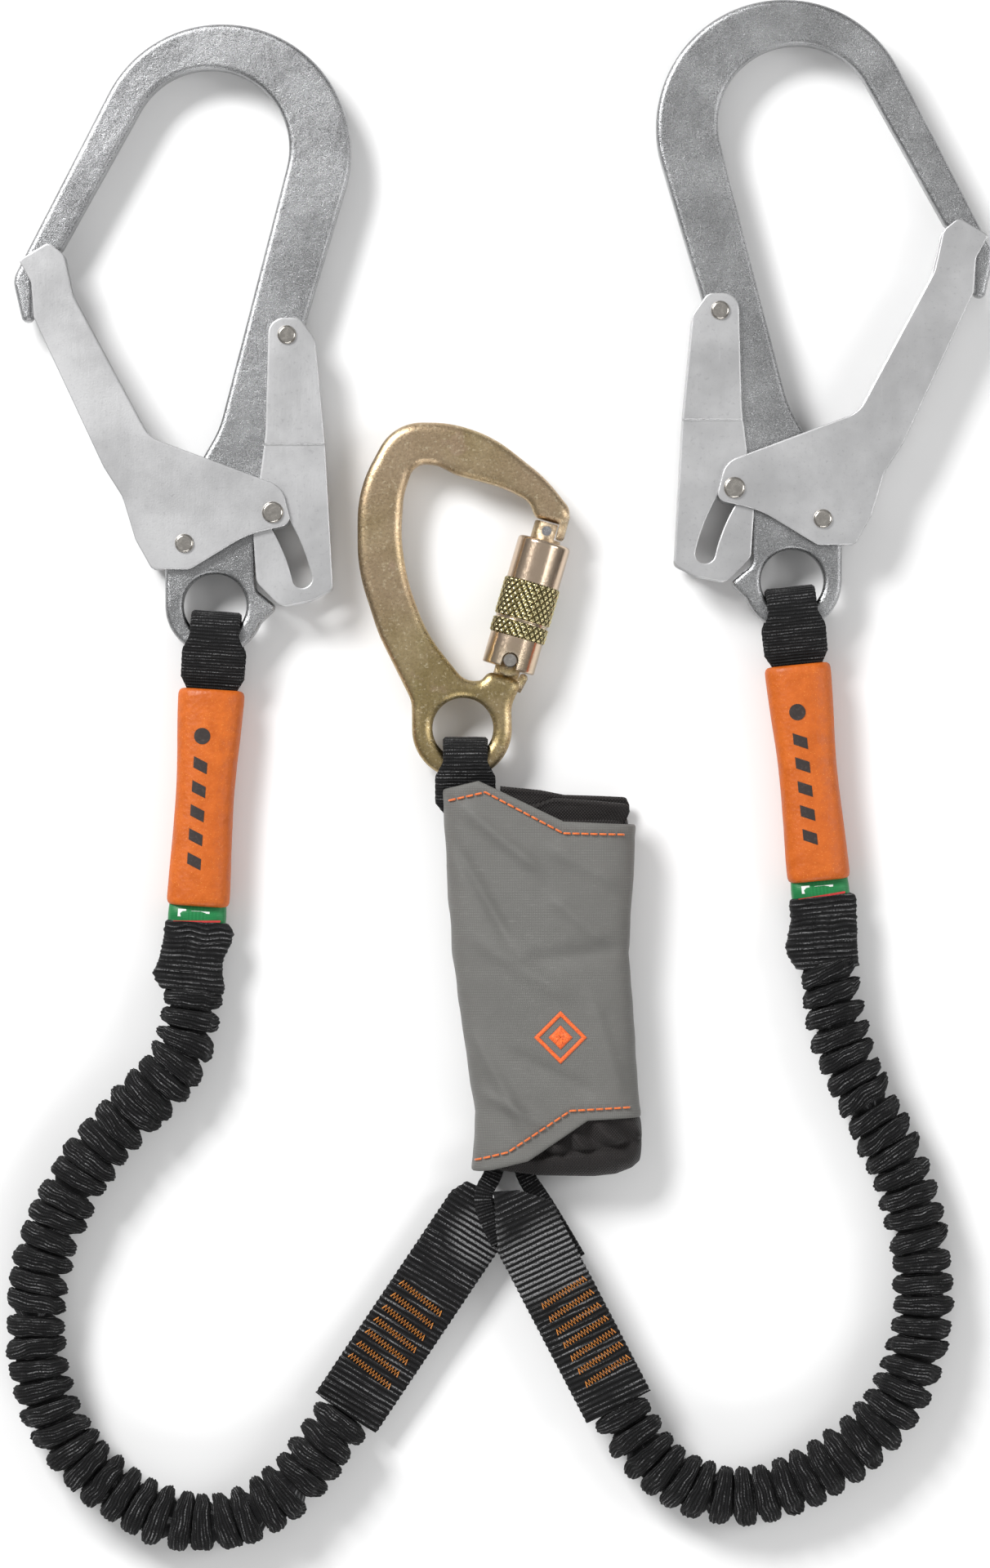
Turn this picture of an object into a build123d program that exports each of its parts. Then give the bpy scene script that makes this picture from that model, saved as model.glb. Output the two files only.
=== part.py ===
from build123d import *
import math
import os

# Twin-leg shock absorbing lanyard, laid out flat. Millimetres; +X right, +Y towards the hooks, +Z up.
# The origin is on the floor, below the centre of everything but the two elastic legs.

# ---- Driving dimensions ----
MID = 12.8                   # height of the connectors' and legs' middle plane
SHIFT = (-3.35, -26.387)     # from the layout drawing's origin, at the pack's top edge, to the part's origin

FRAME_T = 10.0               # forged scaffold hook
FRAME_EDGE = 1.9
EYE = (-1.8, 1.0)            # centre of the hook's eye
EYE_R = 12.4
GATE_PIVOT = (-13.5, 25.2)
LEVER_PIVOT = (26.5, 106.7)
LOCK_PIN = (21.0, 37.3)
GATE_OPENING = 40.0          # degrees, towards the hook's spine
LEVER_RATIO = 0.175          # the lever's turn for each degree of the gate's
SHEET = 1.5                  # sheet steel of the gate and the lever
SIDE_GAP = 0.3               # between the hook's flat faces that slide past each other
LEVER_IN = FRAME_T / 2 + SIDE_GAP
GATE_IN = LEVER_IN + SHEET + SIDE_GAP
RIVET_R = 3.0
RIVET_HEAD_R = 3.7
LOCK_PIN_R = 3.6
PIN_HEAD_R = 4.2
HEAD_H = 1.5
RUNNING = 0.05               # radial clearance of a rivet in its hole, and the play under its head
SLOT_CLEARANCE = 0.3
GATE_SPRING_WIRE = 1.4
GATE_SPRING_R = 5.3
LEVER_SPRING_WIRE = 1.0
LEVER_SPRING_R = 2.6
LEVER_SPRING_Y = 58.0        # height of the lever's return spring, which sits in a blind seat in the frame
LEVER_SPRING_SPAN = (12.0, 39.6)
LEVER_SPRING_PITCH = 2.2
SPRING_SEAT_R = 3.6
SPRING_SEAT_DEPTH = 20.0
SPACER_R = 4.3
GATE_COIL_TURN = 320.0       # degrees of wire on each side of the frame
GATE_BRIDGE = (-38.2, 49.4)  # where the gate's spring pushes on the gate's web
LEVER_STEP_Y = 64.0          # above this the lever's cheeks stand prouder
LEVER_STEP = 0.8

WEBBING_T = 2.2              # hook loop: webbing that wraps the eye's rim and runs down into the cuff
LOOP_W = 20.0
LOOP_TAIL_W = 18.0
LOOP_R = 9.1
TAIL_GAP = 0.3               # half the gap between a loop's two plies
TAIL_IN_CUFF = 16.0
LOOP_BEND_R = 6.0
LOOP_TAPER_R = 8.0
GRIP_TOP = 20.5              # distances down the strap from where the hook swings
GRIP_LENGTH = 85.0
GRIP_T = 17.0
GRIP_WIDTHS = ((0, 26.0), (0.55, 22.6), (1, 24.6))     # at shares of the grip's length
GRIP_ROUND = 7.8
GRIP_EDGE = 3.0
GRIP_FIT = 0.3
LABEL_LENGTH = 6.1
LABEL_WALL = 0.8
LABEL_FIT = 0.2
CUFF_TOP = 112.5
CUFF_END = 136.5
LOOP_END = CUFF_TOP + TAIL_IN_CUFF
CUFF_W = 24.0
CUFF_T = 12.0
CUFF_ROUND = 4.5
CUFF_EDGE = 1.5
CUFF_FIT = 0.1

LEG_D = 25.0                 # relaxed elastic leg
LEG_WALL = 3.6
CORE_GAP = 0.3
END_T = 7.0                  # flat sewn end of a leg
END_EDGE = 1.2
END_LEVELS = {"left": MID - 8.5, "right": MID + 0.9}   # underside of each flat end: the right one lies on top
TACK_COUNT = 7
TACK_SIZE = (20.3, 2.2, 0.8)
STRAP_W = 7.3
STRAP_T = 2.0
STRAP_BEND_R = 8.0
STRAP_LEVEL = MID - 1.3

PACK_T = 28.0                # absorber pack, lying on the floor
PACK_ROUND = 11.0
COVER_WALL = 1.2
COVER_GAP = 0.4              # between the cover and the pouch inside it
POUCH_WALL = 1.5
STRAP_MOUTH = (-11.5, 19.0)  # slot in the pouch's lower end, from side to side
STRAP_MOUTH_Y = (-156.0, -144.0)
STRAP_PLAY = 0.5
TEAR_W = 40.0
TEAR_T = 2.4
TEAR_PITCH = 4.3
TEAR_LAYERS = 5
TEAR_CENTRE = 20.0
TEAR_SPAN = (-127.0, -27.0)
EMBLEM_CENTRE = (25.5, -98.7)
EMBLEM_R = 11.0
EMBLEM_T = 0.6
EMBLEM_CORNER_R = 1.5

CARABINER_T = 11.0
CARABINER_EYE = (-12.6, 21.8)
CARABINER_EYE_R = 11.9
CARABINER_SWING = (-11.6, 8.5)
TOP_LOOP_W = 17.5            # webbing from the carabiner's eye into the pack
TOP_LOOP_TAIL_W = 12.0
TOP_LOOP_T = 2.4
TOP_LOOP_R = 8.8
TOP_LOOP_NECK = 20.5
TOP_LOOP_END = 31.0
HINGE = (5.9, 48.3)          # the carabiner gate's hinge
GATE_LEAN = 16.26            # degrees between the closed gate and +Y
GATE_R = 6.0
SLEEVE_R = 10.5
SLEEVE_BORE = 6.15
SLEEVE_END = -3.1            # the lock sleeve's two halves, measured along the gate from the hinge
SLEEVE_SPLIT = 16.0
SLEEVE_TOP = 48.7
GATE_TOP = 55.9
GATE_BORE_R = 3.0
GATE_BORE_DEPTH = 34.0
GATE_FIT = 0.15              # of the gate's slot round the tongue, and of the pieces in its bore
TONGUE_T = 5.0
TONGUE_R = 5.0
TONGUE_ROOT = -9.5
HINGE_RIVET_R = 2.7
NOTCH_CLEARANCE = 0.4        # of the collar's notch round the hinge rivet
BOW_EDGE = 3.0
LIP_SIDE = (-3.6, -6.9)      # the nose's lip lies on the outer side of the closed gate
LIP_END = 50.6
LIP_ROOT = 61.0
LIP_T = 9.0
NOSE_PIN_AT = (52.6, 0.4)
NOSE_PIN_R = 1.9
NOSE_PIN_REACH = 5.6         # its end from the gate's middle, low enough to pass under the sleeve
RETAINER = (41.0, 43.0)      # ring on the gate that the sleeve's spring pushes against
RETAINER_R = 8.3
SLEEVE_SPACE = (18.0, 46.5)  # the spring's space inside the lock sleeve
SLEEVE_SPACE_R = 8.6
SLEEVE_GAP = 0.1             # from the split to each half
PLUNGER_LENGTH = 7.0
GATE_COIL = (12.3, 33.8, 2.2, 0.8, 1.8)       # start, end, radius, wire and pitch of the two coil springs
SLEEVE_COIL = (18.2, 40.8, 7.3, 1.2, 2.6)

# Each hook's place: its own origin in the layout, and its turn about +Y.
HOOK_PLACES = {
    "left": ((-107.8, 68.8), 0),
    "right": ((114.5, 78.4), 180),
}
# Each leg's upper end: the point where the hook swings, and how far the strap leans from -Y.
STRAP_PLACES = {
    "left": ((-109.6, 57.5), -3.7),
    "right": ((116.3, 67.1), 5.8),
}
# Each leg's route on the floor, from the cuff to the sewn end.
LEG_ROUTES = {
    "left": [
        (-118.41, -78.77), (-119.28, -92.24), (-123.0, -107.5), (-136.5, -122.5), (-155.0, -141.0),
        (-169.0, -162.6), (-178.6, -187.2), (-181.1, -212.8), (-177.9, -238.4), (-166.7, -260.8),
        (-149.1, -277.8), (-128.5, -288.6), (-106.5, -290.5), (-86.0, -281.5), (-70.21, -264.49),
        (-58.53, -247.04),
    ],
    "right": [
        (130.10, -68.75), (131.41, -81.68), (134.0, -97.0), (140.0, -114.5), (149.5, -132.5),
        (159.0, -152.0), (165.3, -174.0), (168.0, -197.0), (166.0, -220.5), (157.5, -242.5),
        (142.0, -259.5), (123.5, -271.5), (103.5, -279.0), (84.0, -278.5), (67.5, -270.0),
        (55.95, -257.71), (48.52, -243.54),
    ],
}

os.makedirs("parts", exist_ok=True)


def in_layout(x, y, z=0.0):
    """A point of the layout drawing, in the part's own frame."""
    return (x + SHIFT[0], y + SHIFT[1], z)


def save(piece, name):
    piece.label = name
    export_step(piece, f"parts/{name}.step")


def outline(corners):
    """A closed outline from (x, y, corner radius) triples."""
    points = [(x, y) for x, y, _ in corners]
    radii = [r for _, _, r in corners]
    return FilletPolyline(*points, radius=radii, close=True)


def turned(point, centre, degrees):
    """A flat point, turned about a centre."""
    angle = math.radians(degrees)
    dx = point[0] - centre[0]
    dy = point[1] - centre[1]
    return (
        centre[0] + dx * math.cos(angle) - dy * math.sin(angle),
        centre[1] + dx * math.sin(angle) + dy * math.cos(angle),
    )


def rivet(centre, radius, half_length, head_radius):
    """A headed rivet across the middle plane, with a dome on each end."""
    with BuildPart() as made:
        with Locations((centre[0], centre[1], 0)):
            Cylinder(radius, 2 * half_length)
        for side in (1, -1):
            with Locations((centre[0], centre[1], side * (half_length + HEAD_H / 2))):
                Cylinder(head_radius, HEAD_H)
        tops = made.edges().filter_by(GeomType.CIRCLE).sort_by(Axis.Z)
        fillet([tops[0], tops[-1]], HEAD_H * 0.8)
    return made.part


# ---- Scaffold hook ----
FRAME_OUTLINE = [
    (-77.0, 111.9, 2.0), (-80.9, 128.5, 9), (-29.5, 228.5, 50), (68.6, 228.5, 50),
    (33.0, 109.5, 60), (20.5, 53.0, 60), (14.2, 26.0, 20), (14.4, 7.2, 3), (22.8, 0.4, 2.1),
    (16.4, -5.8, 4), (9.8, -18.3, 19.2), (-21.1, -18.3, 19.2), (-21.3, 33.0, 14), (0.0, 70.0, 40),
    (36.2, 210.8, 30.8), (-22.0, 210.8, 30.8), (-61.3, 140.3, 2.2), (-72.6, 131.2, 1.5),
    (-72.9, 112.2, 2.0),
]
CHEEK_OUTLINE = [
    (-78.2, 135.8, 1.5), (-66.5, 142.8, 3), (-60.6, 138.0, 4), (-57.0, 121.8, 14), (-27.5, 66.8, 12),
    (24.6, 47.4, 9), (28.3, 32.6, 3.5), (11.0, 28.6, 40), (-11.5, 14.9, 6), (-26.2, 15.2, 2),
    (-32.6, 26.6, 2), (-37.6, 43.4, 12), (-45.0, 54.9, 12), (-72.3, 113.4, 2), (-73.3, 127.0, 4),
]
LEVER_OUTLINE = [
    (19.4, 113.4, 6.2), (31.4, 113.4, 4), (37.4, 105.0, 4), (41.3, 64.0, 40), (44.5, 7.2, 2.5),
    (35.5, 2.6, 10), (24.0, 0.4, 5), (14.6, 10.0, 5), (13.2, 30.0, 25), (18.2, 68.0, 60),
]
# Where each folded sheet keeps the web that joins its two cheeks: the outline's edge inside these corners.
GATE_WEB_REGION = [(-90, 112.6), (-60, 112.6), (-31, 50), (-26, 27.5), (-90, 27.5)]
LEVER_WEB_REGION = [(30, 103), (60, 103), (60, 9), (38, 9), (33, 60)]


def hook_frame():
    with BuildPart() as frame:
        with BuildSketch(Plane.XY.offset(-FRAME_T / 2)):
            with BuildLine():
                outline(FRAME_OUTLINE)
            make_face()
            with Locations(EYE):
                Circle(EYE_R, mode=Mode.SUBTRACT)
        extrude(amount=FRAME_T)
        flat = frame.faces().filter_by(Axis.Z)
        fillet(flat.edges(), FRAME_EDGE)
        with Locations((*GATE_PIVOT, 0), (*LEVER_PIVOT, 0)):
            Hole(RIVET_R + RUNNING, depth=FRAME_T)
        # Blind seat of the lever's return spring.
        with BuildSketch(Plane(origin=(LEVER_SPRING_SPAN[0], LEVER_SPRING_Y, 0), z_dir=(1, 0, 0))):
            Circle(SPRING_SEAT_R)
        extrude(amount=SPRING_SEAT_DEPTH, mode=Mode.SUBTRACT)
    return frame.part


def rim(corners, wall, region):
    """The stretch of an outline's own edge, wall thick, that lies inside a region."""
    with BuildSketch() as band:
        with BuildLine():
            outline(corners)
        make_face()
        offset(amount=-wall, mode=Mode.SUBTRACT)
        with BuildLine():
            Polyline(*region, close=True)
        make_face(mode=Mode.INTERSECT)
    return band.sketch


def hook_gate():
    """Folded sheet: two cheeks outside the frame and the lever, joined by a web on the outer edge."""
    web = rim(CHEEK_OUTLINE, SHEET, GATE_WEB_REGION)
    with BuildPart() as gate:
        for level in (GATE_IN, -GATE_IN - SHEET):
            with BuildSketch(Plane.XY.offset(level)):
                with BuildLine():
                    outline(CHEEK_OUTLINE)
                make_face()
            extrude(amount=SHEET)
        with BuildSketch(Plane.XY.offset(-GATE_IN)):
            add(web)
        extrude(amount=2 * GATE_IN)
        with Locations((*GATE_PIVOT, 0)):
            Hole(RIVET_R + RUNNING, depth=GATE_IN + SHEET)
        with Locations((*LOCK_PIN, 0)):
            Hole(LOCK_PIN_R, depth=GATE_IN + SHEET)
    return gate.part


def pin_in_lever(opened):
    """Where the lock pin is, seen from the lever, when the gate has turned by the given degrees."""
    pin = turned(LOCK_PIN, GATE_PIVOT, -opened)
    return turned(pin, LEVER_PIVOT, opened * LEVER_RATIO)


def lock_lever():
    """Folded sheet: two slotted cheeks against the frame, joined by a web on the palm side."""
    web = rim(LEVER_OUTLINE, SHEET, LEVER_WEB_REGION)
    with BuildPart() as lever:
        for level in (LEVER_IN, -LEVER_IN - SHEET):
            with BuildSketch(Plane.XY.offset(level)):
                with BuildLine():
                    outline(LEVER_OUTLINE)
                make_face()
                with BuildLine() as path:
                    travel = (-1, GATE_OPENING / 2, GATE_OPENING + 1)
                    ThreePointArc(*[pin_in_lever(opened) for opened in travel])
                SlotArc(path.edges()[0], 2 * (LOCK_PIN_R + SLOT_CLEARANCE), mode=Mode.SUBTRACT)
            extrude(amount=SHEET)
        # The upper half of each cheek stands prouder.
        for side in (1, -1):
            with BuildSketch(Plane.XY.offset(side * (LEVER_IN + SHEET))):
                with BuildLine():
                    outline(LEVER_OUTLINE)
                make_face()
                with Locations((LEVER_PIVOT[0], LEVER_STEP_Y)):
                    Rectangle(60, 60, align=(Align.CENTER, Align.MIN), mode=Mode.INTERSECT)
            extrude(amount=side * LEVER_STEP)
        with BuildSketch(Plane.XY.offset(-LEVER_IN)):
            add(web)
        extrude(amount=2 * LEVER_IN)
        with Locations((*LEVER_PIVOT, 0)):
            Hole(RIVET_R + RUNNING, depth=LEVER_IN + SHEET + LEVER_STEP)
    return lever.part


def gate_spring():
    """Double torsion spring: a coil on each side of the frame, joined by a bridge under the gate's web."""
    level = (FRAME_T / 2 + GATE_IN) / 2
    across, up = (GATE_BRIDGE[i] - GATE_PIVOT[i] for i in (0, 1))
    reach = math.hypot(across, up)
    towards = math.degrees(math.atan2(up, across))
    leaves = towards + math.degrees(math.acos(GATE_SPRING_R / reach))
    with BuildPart() as spring:
        for side in (1, -1):
            with BuildLine(Plane.XY.offset(side * level)):
                coil = CenterArc(GATE_PIVOT, GATE_SPRING_R, leaves, GATE_COIL_TURN)
                Line(coil @ 0, GATE_BRIDGE)
            with BuildSketch(Plane(origin=coil @ 1, z_dir=coil % 1)):
                Circle(GATE_SPRING_WIRE / 2)
            sweep(transition=Transition.ROUND)
        with BuildSketch(Plane.XY.offset(-level)):
            with Locations(GATE_BRIDGE):
                Circle(GATE_SPRING_WIRE / 2)
        extrude(amount=2 * level)
    return spring.part


def coil_spring(start, end, radius, wire, pitch):
    """Compression spring along +Z, made as a closed ribbed tube of the coils' own size."""
    turns = round((end - start) / pitch)
    step = (end - start) / turns
    with BuildPart() as spring:
        with BuildSketch(Plane.XY.offset(start)):
            Circle(radius + wire / 4)
            Circle(radius - wire / 4, mode=Mode.SUBTRACT)
        extrude(amount=end - start)
        with Locations([(0, 0, start + (turn + 0.5) * step) for turn in range(turns)]):
            Torus(radius, wire / 2)
    return spring.part


def lever_spring():
    along = Plane(origin=(0, LEVER_SPRING_Y, 0), z_dir=(1, 0, 0))
    spring = coil_spring(*LEVER_SPRING_SPAN, LEVER_SPRING_R, LEVER_SPRING_WIRE, LEVER_SPRING_PITCH)
    return spring.moved(along.location)


def gate_spacers():
    """Two washers that keep the gate's cheeks centred on the frame."""
    with BuildPart() as spacers:
        for side in (1, -1):
            with BuildSketch(Plane.XY.offset(side * FRAME_T / 2)):
                with Locations(GATE_PIVOT):
                    Circle(SPACER_R)
                    Circle(RIVET_R + RUNNING, mode=Mode.SUBTRACT)
            extrude(amount=side * (GATE_IN - FRAME_T / 2 - RUNNING))
    return spacers.part


# ---- Upper end of a leg: webbing loop, grip, label and cuff. Local -Y runs down the strap. ----
def wrapped_webbing(width, tail_width, thickness, wrap, neck, end):
    """Webbing that wraps a bar at the origin; its two plies meet at neck and run down to end."""
    tail = thickness / 2 + TAIL_GAP
    with BuildPart() as loop:
        with BuildSketch(Plane.YZ):
            with BuildLine():
                FilletPolyline(
                    (-end, tail), (-neck, tail), (-0.6 * wrap, wrap), (wrap, wrap),
                    (wrap, -wrap), (-0.6 * wrap, -wrap), (-neck, -tail), (-end, -tail),
                    radius=[LOOP_BEND_R, LOOP_BEND_R, wrap - 0.1, wrap - 0.1, LOOP_BEND_R, LOOP_BEND_R],
                )
            trace(line_width=thickness)
        extrude(amount=width / 2, both=True)
        with BuildSketch(Plane.XY.offset(-2 * wrap)):
            with BuildLine():
                half = [
                    (width / 2, 2 * wrap, 1), (width / 2, -0.6 * wrap, LOOP_TAPER_R),
                    (tail_width / 2, -0.62 * neck, LOOP_TAPER_R), (tail_width / 2, -end - 1, 1),
                ]
                outline(half + [(-x, y, r) for x, y, r in reversed(half)])
            make_face()
        extrude(amount=4 * wrap, mode=Mode.INTERSECT)
    return loop.part


def webbing_slot(clearance):
    """Size across and through of a slot that both plies pass."""
    return LOOP_TAIL_W + 2 * clearance, 2 * (WEBBING_T + TAIL_GAP + clearance)


def grip():
    """Moulded sleeve over the strap, slightly waisted."""
    with BuildPart() as sleeve:
        for at, width in GRIP_WIDTHS:
            with BuildSketch(Plane.XZ.offset(GRIP_TOP + at * GRIP_LENGTH)):
                RectangleRounded(width, GRIP_T, GRIP_ROUND)
        loft()
        ends = sleeve.faces().filter_by(Axis.Y)
        fillet(ends.edges(), GRIP_EDGE)
        with BuildSketch(Plane.XZ.offset(GRIP_TOP - 1)):
            Rectangle(*webbing_slot(GRIP_FIT))
        extrude(amount=GRIP_LENGTH + 2, mode=Mode.SUBTRACT)
    return sleeve.part


def fall_label():
    """Printed band round the strap between the grip and the cuff."""
    width, height = webbing_slot(LABEL_FIT)
    with BuildPart() as band:
        with BuildSketch(Plane.XZ.offset(GRIP_TOP + GRIP_LENGTH + LABEL_FIT)):
            RectangleRounded(width + 2 * LABEL_WALL, height + 2 * LABEL_WALL, LABEL_WALL + LABEL_FIT)
            Rectangle(width, height, mode=Mode.SUBTRACT)
        extrude(amount=LABEL_LENGTH)
    return band.part


def cuff():
    """The leg's gathered end, folded flat and sewn round the webbing's two plies."""
    with BuildPart() as folded:
        with BuildSketch(Plane.XZ.offset(CUFF_TOP)):
            RectangleRounded(CUFF_W, CUFF_T, CUFF_ROUND)
        extrude(amount=CUFF_END - CUFF_TOP)
        fillet(folded.faces().sort_by(Axis.Y)[-1].edges(), CUFF_EDGE)
        with BuildSketch(Plane.XZ.offset(CUFF_TOP)):
            Rectangle(*webbing_slot(CUFF_FIT))
        extrude(amount=TAIL_IN_CUFF + CUFF_FIT, mode=Mode.SUBTRACT)
    return folded.part


# ---- Elastic leg ----
def route_radii(points):
    """The largest tangent arc that fits each corner of a route."""
    radii = []
    for before, corner, after in zip(points, points[1:], points[2:]):
        run_in = Vector(*corner) - Vector(*before)
        run_out = Vector(*after) - Vector(*corner)
        half_turn = math.radians(run_in.get_angle(run_out)) / 2
        radii.append(0.45 * min(run_in.length, run_out.length) / math.tan(half_turn))
    return radii


def tube(points, radius, bore=0.0):
    """A round tube, or a rod, along a flat route at the connectors' height."""
    route = [in_layout(x, y, MID) for x, y in points]
    with BuildPart() as made:
        with BuildLine() as path:
            FilletPolyline(*route, radius=route_radii(points))
        with BuildSketch(Plane(origin=path.line @ 0, z_dir=path.line % 0)):
            Circle(radius)
            if bore:
                Circle(bore, mode=Mode.SUBTRACT)
        sweep()
    return made.part, path.wires()[0].length


END_OUTLINES = {
    "left": [
        (-70.3, -239.1, 2), (-17.0, -159.8, 5), (-10.6, -155.8, 2), (-2.5, -160.2, 3),
        (7.9, -173.5, 3), (-46.7, -254.9, 2),
    ],
    "right": [
        (36.1, -250.0, 2), (60.9, -237.0, 2), (22.3, -162.9, 6), (9.5, -158.8, 8), (-0.5, -159.4, 4),
        (1.5, -183.6, 10),
    ],
}
STRAP_ROUTES = {
    "left": [(0.3, -128.5), (0.5, -146.0), (-0.4, -153.0), (-5.0, -160.0), (-4.0, -168.0), (2.0, -180.0)],
    "right": [(8.0, -128.5), (8.8, -150.0), (19.6, -164.5), (32.0, -186.0)],
}
# The seven bar tacks of each end: the first one's centre, the step to the next, and their lean.
TACKS = {
    "left": ((-29.0, -201.5), (-3.33, -4.75), -39.0),
    "right": ((26.8, -198.5), (2.83, -5.1), 33.7),
}


def sewn_end(side):
    """Flat end of a leg: its folded plies, sewn together."""
    with BuildPart() as flat:
        with BuildSketch(Plane.XY.offset(END_LEVELS[side])):
            with BuildLine():
                outline([(*in_layout(x, y)[:2], r) for x, y, r in END_OUTLINES[side]])
            make_face()
        extrude(amount=END_T)
        chamfer(flat.faces().filter_by(Axis.Z).edges(), END_EDGE)
    return flat.part


def bar_tacks(side):
    first, step, lean = TACKS[side]
    long, wide, high = TACK_SIZE
    with BuildPart() as tacks:
        for index in range(TACK_COUNT):
            centre = (first[0] + index * step[0], first[1] + index * step[1])
            level = END_LEVELS[side] + END_T + high / 2
            with Locations(Location(in_layout(*centre, level), (0, 0, lean))):
                Box(long, wide, high)
    return tacks.part


def pack_strap(side):
    """Narrow webbing from the absorber to a leg's sewn end."""
    with BuildPart() as strap:
        with BuildSketch(Plane.XY.offset(STRAP_LEVEL)):
            with BuildLine():
                FilletPolyline(*[in_layout(x, y)[:2] for x, y in STRAP_ROUTES[side]], radius=STRAP_BEND_R)
            trace(line_width=STRAP_W)
        extrude(amount=STRAP_T)
    return strap.part


# ---- Absorber pack ----
# The pack's left and right sides at successive heights down its length.
PACK_SIDES = [
    (6.0, -20.6, 55.2), (-30.0, -19.2, 54.6), (-66.0, -16.6, 52.4), (-100.0, -12.2, 54.8),
    (-128.0, -7.6, 56.8), (-160.0, -9.4, 57.4),
]
COVER_PLAN = [
    (-32.0, -6.2, 1), (-4.5, 1.4, 12), (26.5, -14.6, 4), (66.0, -16.0, 1), (66.0, -129.7, 1),
    (31.0, -131.0, 3), (7.0, -148.6, 4), (-24.0, -152.3, 1),
]
POUCH_PLAN = [
    (-32.0, -25.0, 1), (2.6, -25.0, 1), (2.6, -0.5, 2), (53.6, -5.4, 3), (66.0, -6.5, 1),
    (66.0, -140.0, 1), (57.0, -150.4, 6), (35.0, -153.4, 20), (11.0, -152.4, 2), (-24.0, -149.5, 1),
]
POUCH_SPACE_PLAN = [
    (-32.0, -20.0, 1), (4.4, -20.0, 1), (4.4, -9.0, 1), (66.0, -10.0, 1), (66.0, -148.0, 1),
    (-32.0, -147.0, 1),
]


def pack_body(inset):
    """The pack's flattened round shape, drawn in from its outside on every side."""
    with BuildPart() as body:
        for y, left, right in PACK_SIDES:
            with BuildSketch(Plane.XZ.offset(-y - SHIFT[1])):
                with Locations(((left + right) / 2 + SHIFT[0], PACK_T / 2)):
                    RectangleRounded(right - left - 2 * inset, PACK_T - 2 * inset, PACK_ROUND - inset)
        loft()
    return body.part


def in_plan(corners):
    """A closed outline given in the layout drawing."""
    return outline([(*in_layout(x, y)[:2], r) for x, y, r in corners])


def cover():
    with BuildPart() as sleeve:
        add(pack_body(0))
        with BuildSketch(Plane.XY.offset(-1)):
            with BuildLine():
                in_plan(COVER_PLAN)
            make_face()
        extrude(amount=PACK_T + 2, mode=Mode.INTERSECT)
        add(pack_body(COVER_WALL), mode=Mode.SUBTRACT)
    return sleeve.part


def pouch():
    """Bag inside the cover, open at its top left for the webbing and slotted below for the straps."""
    inset = COVER_WALL + COVER_GAP
    with BuildPart() as space:
        add(pack_body(inset + POUCH_WALL))
        with BuildSketch(Plane.XY.offset(-1)):
            with BuildLine():
                in_plan(POUCH_SPACE_PLAN)
            make_face()
        extrude(amount=PACK_T + 2, mode=Mode.INTERSECT)
    with BuildPart() as bag:
        add(pack_body(inset))
        with BuildSketch(Plane.XY.offset(-1)):
            with BuildLine():
                in_plan(POUCH_PLAN)
            make_face()
        extrude(amount=PACK_T + 2, mode=Mode.INTERSECT)
        add(space.part, mode=Mode.SUBTRACT)
        across, along = STRAP_MOUTH, STRAP_MOUTH_Y
        with Locations(in_layout(sum(across) / 2, sum(along) / 2, STRAP_LEVEL + STRAP_T / 2)):
            Box(across[1] - across[0], along[1] - along[0], STRAP_T + 2 * STRAP_PLAY, mode=Mode.SUBTRACT)
    return bag.part


def tear_webbing():
    """Shock absorbing webbing, folded back and forth inside the pouch."""
    low, high = (y + SHIFT[1] for y in TEAR_SPAN)
    corners = []
    for layer in range(TEAR_LAYERS):
        level = PACK_T / 2 + (layer - (TEAR_LAYERS - 1) / 2) * TEAR_PITCH
        ends = (high, low) if layer % 2 == 0 else (low, high)
        corners += [(y, level) for y in ends]
    with BuildPart() as folded:
        with BuildSketch(Plane.YZ.offset(TEAR_CENTRE + SHIFT[0])):
            with BuildLine():
                FilletPolyline(*corners, radius=TEAR_PITCH / 2 - 0.05)
            trace(line_width=TEAR_T)
        extrude(amount=TEAR_W / 2, both=True)
    return folded.part


def emblem():
    """Plain embroidered patch: a diamond."""
    with BuildPart() as patch:
        with BuildSketch(Plane(origin=in_layout(*EMBLEM_CENTRE, PACK_T))):
            RegularPolygon(EMBLEM_R, 4)
        extrude(amount=EMBLEM_T)
        fillet(patch.edges().filter_by(Axis.Z), EMBLEM_CORNER_R)
    return patch.part


# ---- Carabiner. Its frame is drawn in the layout; its gate parts stand on the hinge, +Z along the gate. ----
def by_gate(along, left):
    """A layout point measured from the hinge, along the closed gate and to its left."""
    lean = math.radians(GATE_LEAN)
    return (
        HINGE[0] + along * math.sin(lean) - left * math.cos(lean),
        HINGE[1] + along * math.cos(lean) + left * math.sin(lean),
    )


BOW_OUTLINE = [
    (*by_gate(56.6, -6.9), 3.2), (29.6, 107.4, 6), (19.8, 119.7, 50), (-0.6, 136.0, 50),
    (-17.7, 141.5, 48), (-39.8, 141.5, 18.5), (-53.8, 115.2, 48), (-53.8, 84.0, 66), (-45.5, 58.3, 60),
    (-32.6, 32.4, 12), (-32.3, 2.1, 19.4), (7.1, 2.1, 19.4), (6.4, 30.6, 12), (*by_gate(-6.4, -6.8), 3.2),
    (*by_gate(-6.4, 6.8), 3.2), (-5.4, 40.5, 3), (-11.8, 40.2, 8), (-26.6, 58.4, 60), (-34.6, 80.5, 80),
    (-36.8, 97.0, 60), (-35.8, 113.0, 24), (-31.6, 125.8, 6.5), (-22.3, 124.7, 8), (-15.2, 121.0, 20),
    (4.0, 115.8, 50), (13.4, 110.6, 7), (*by_gate(56.6, 6.3), 3.2),
]


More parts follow.
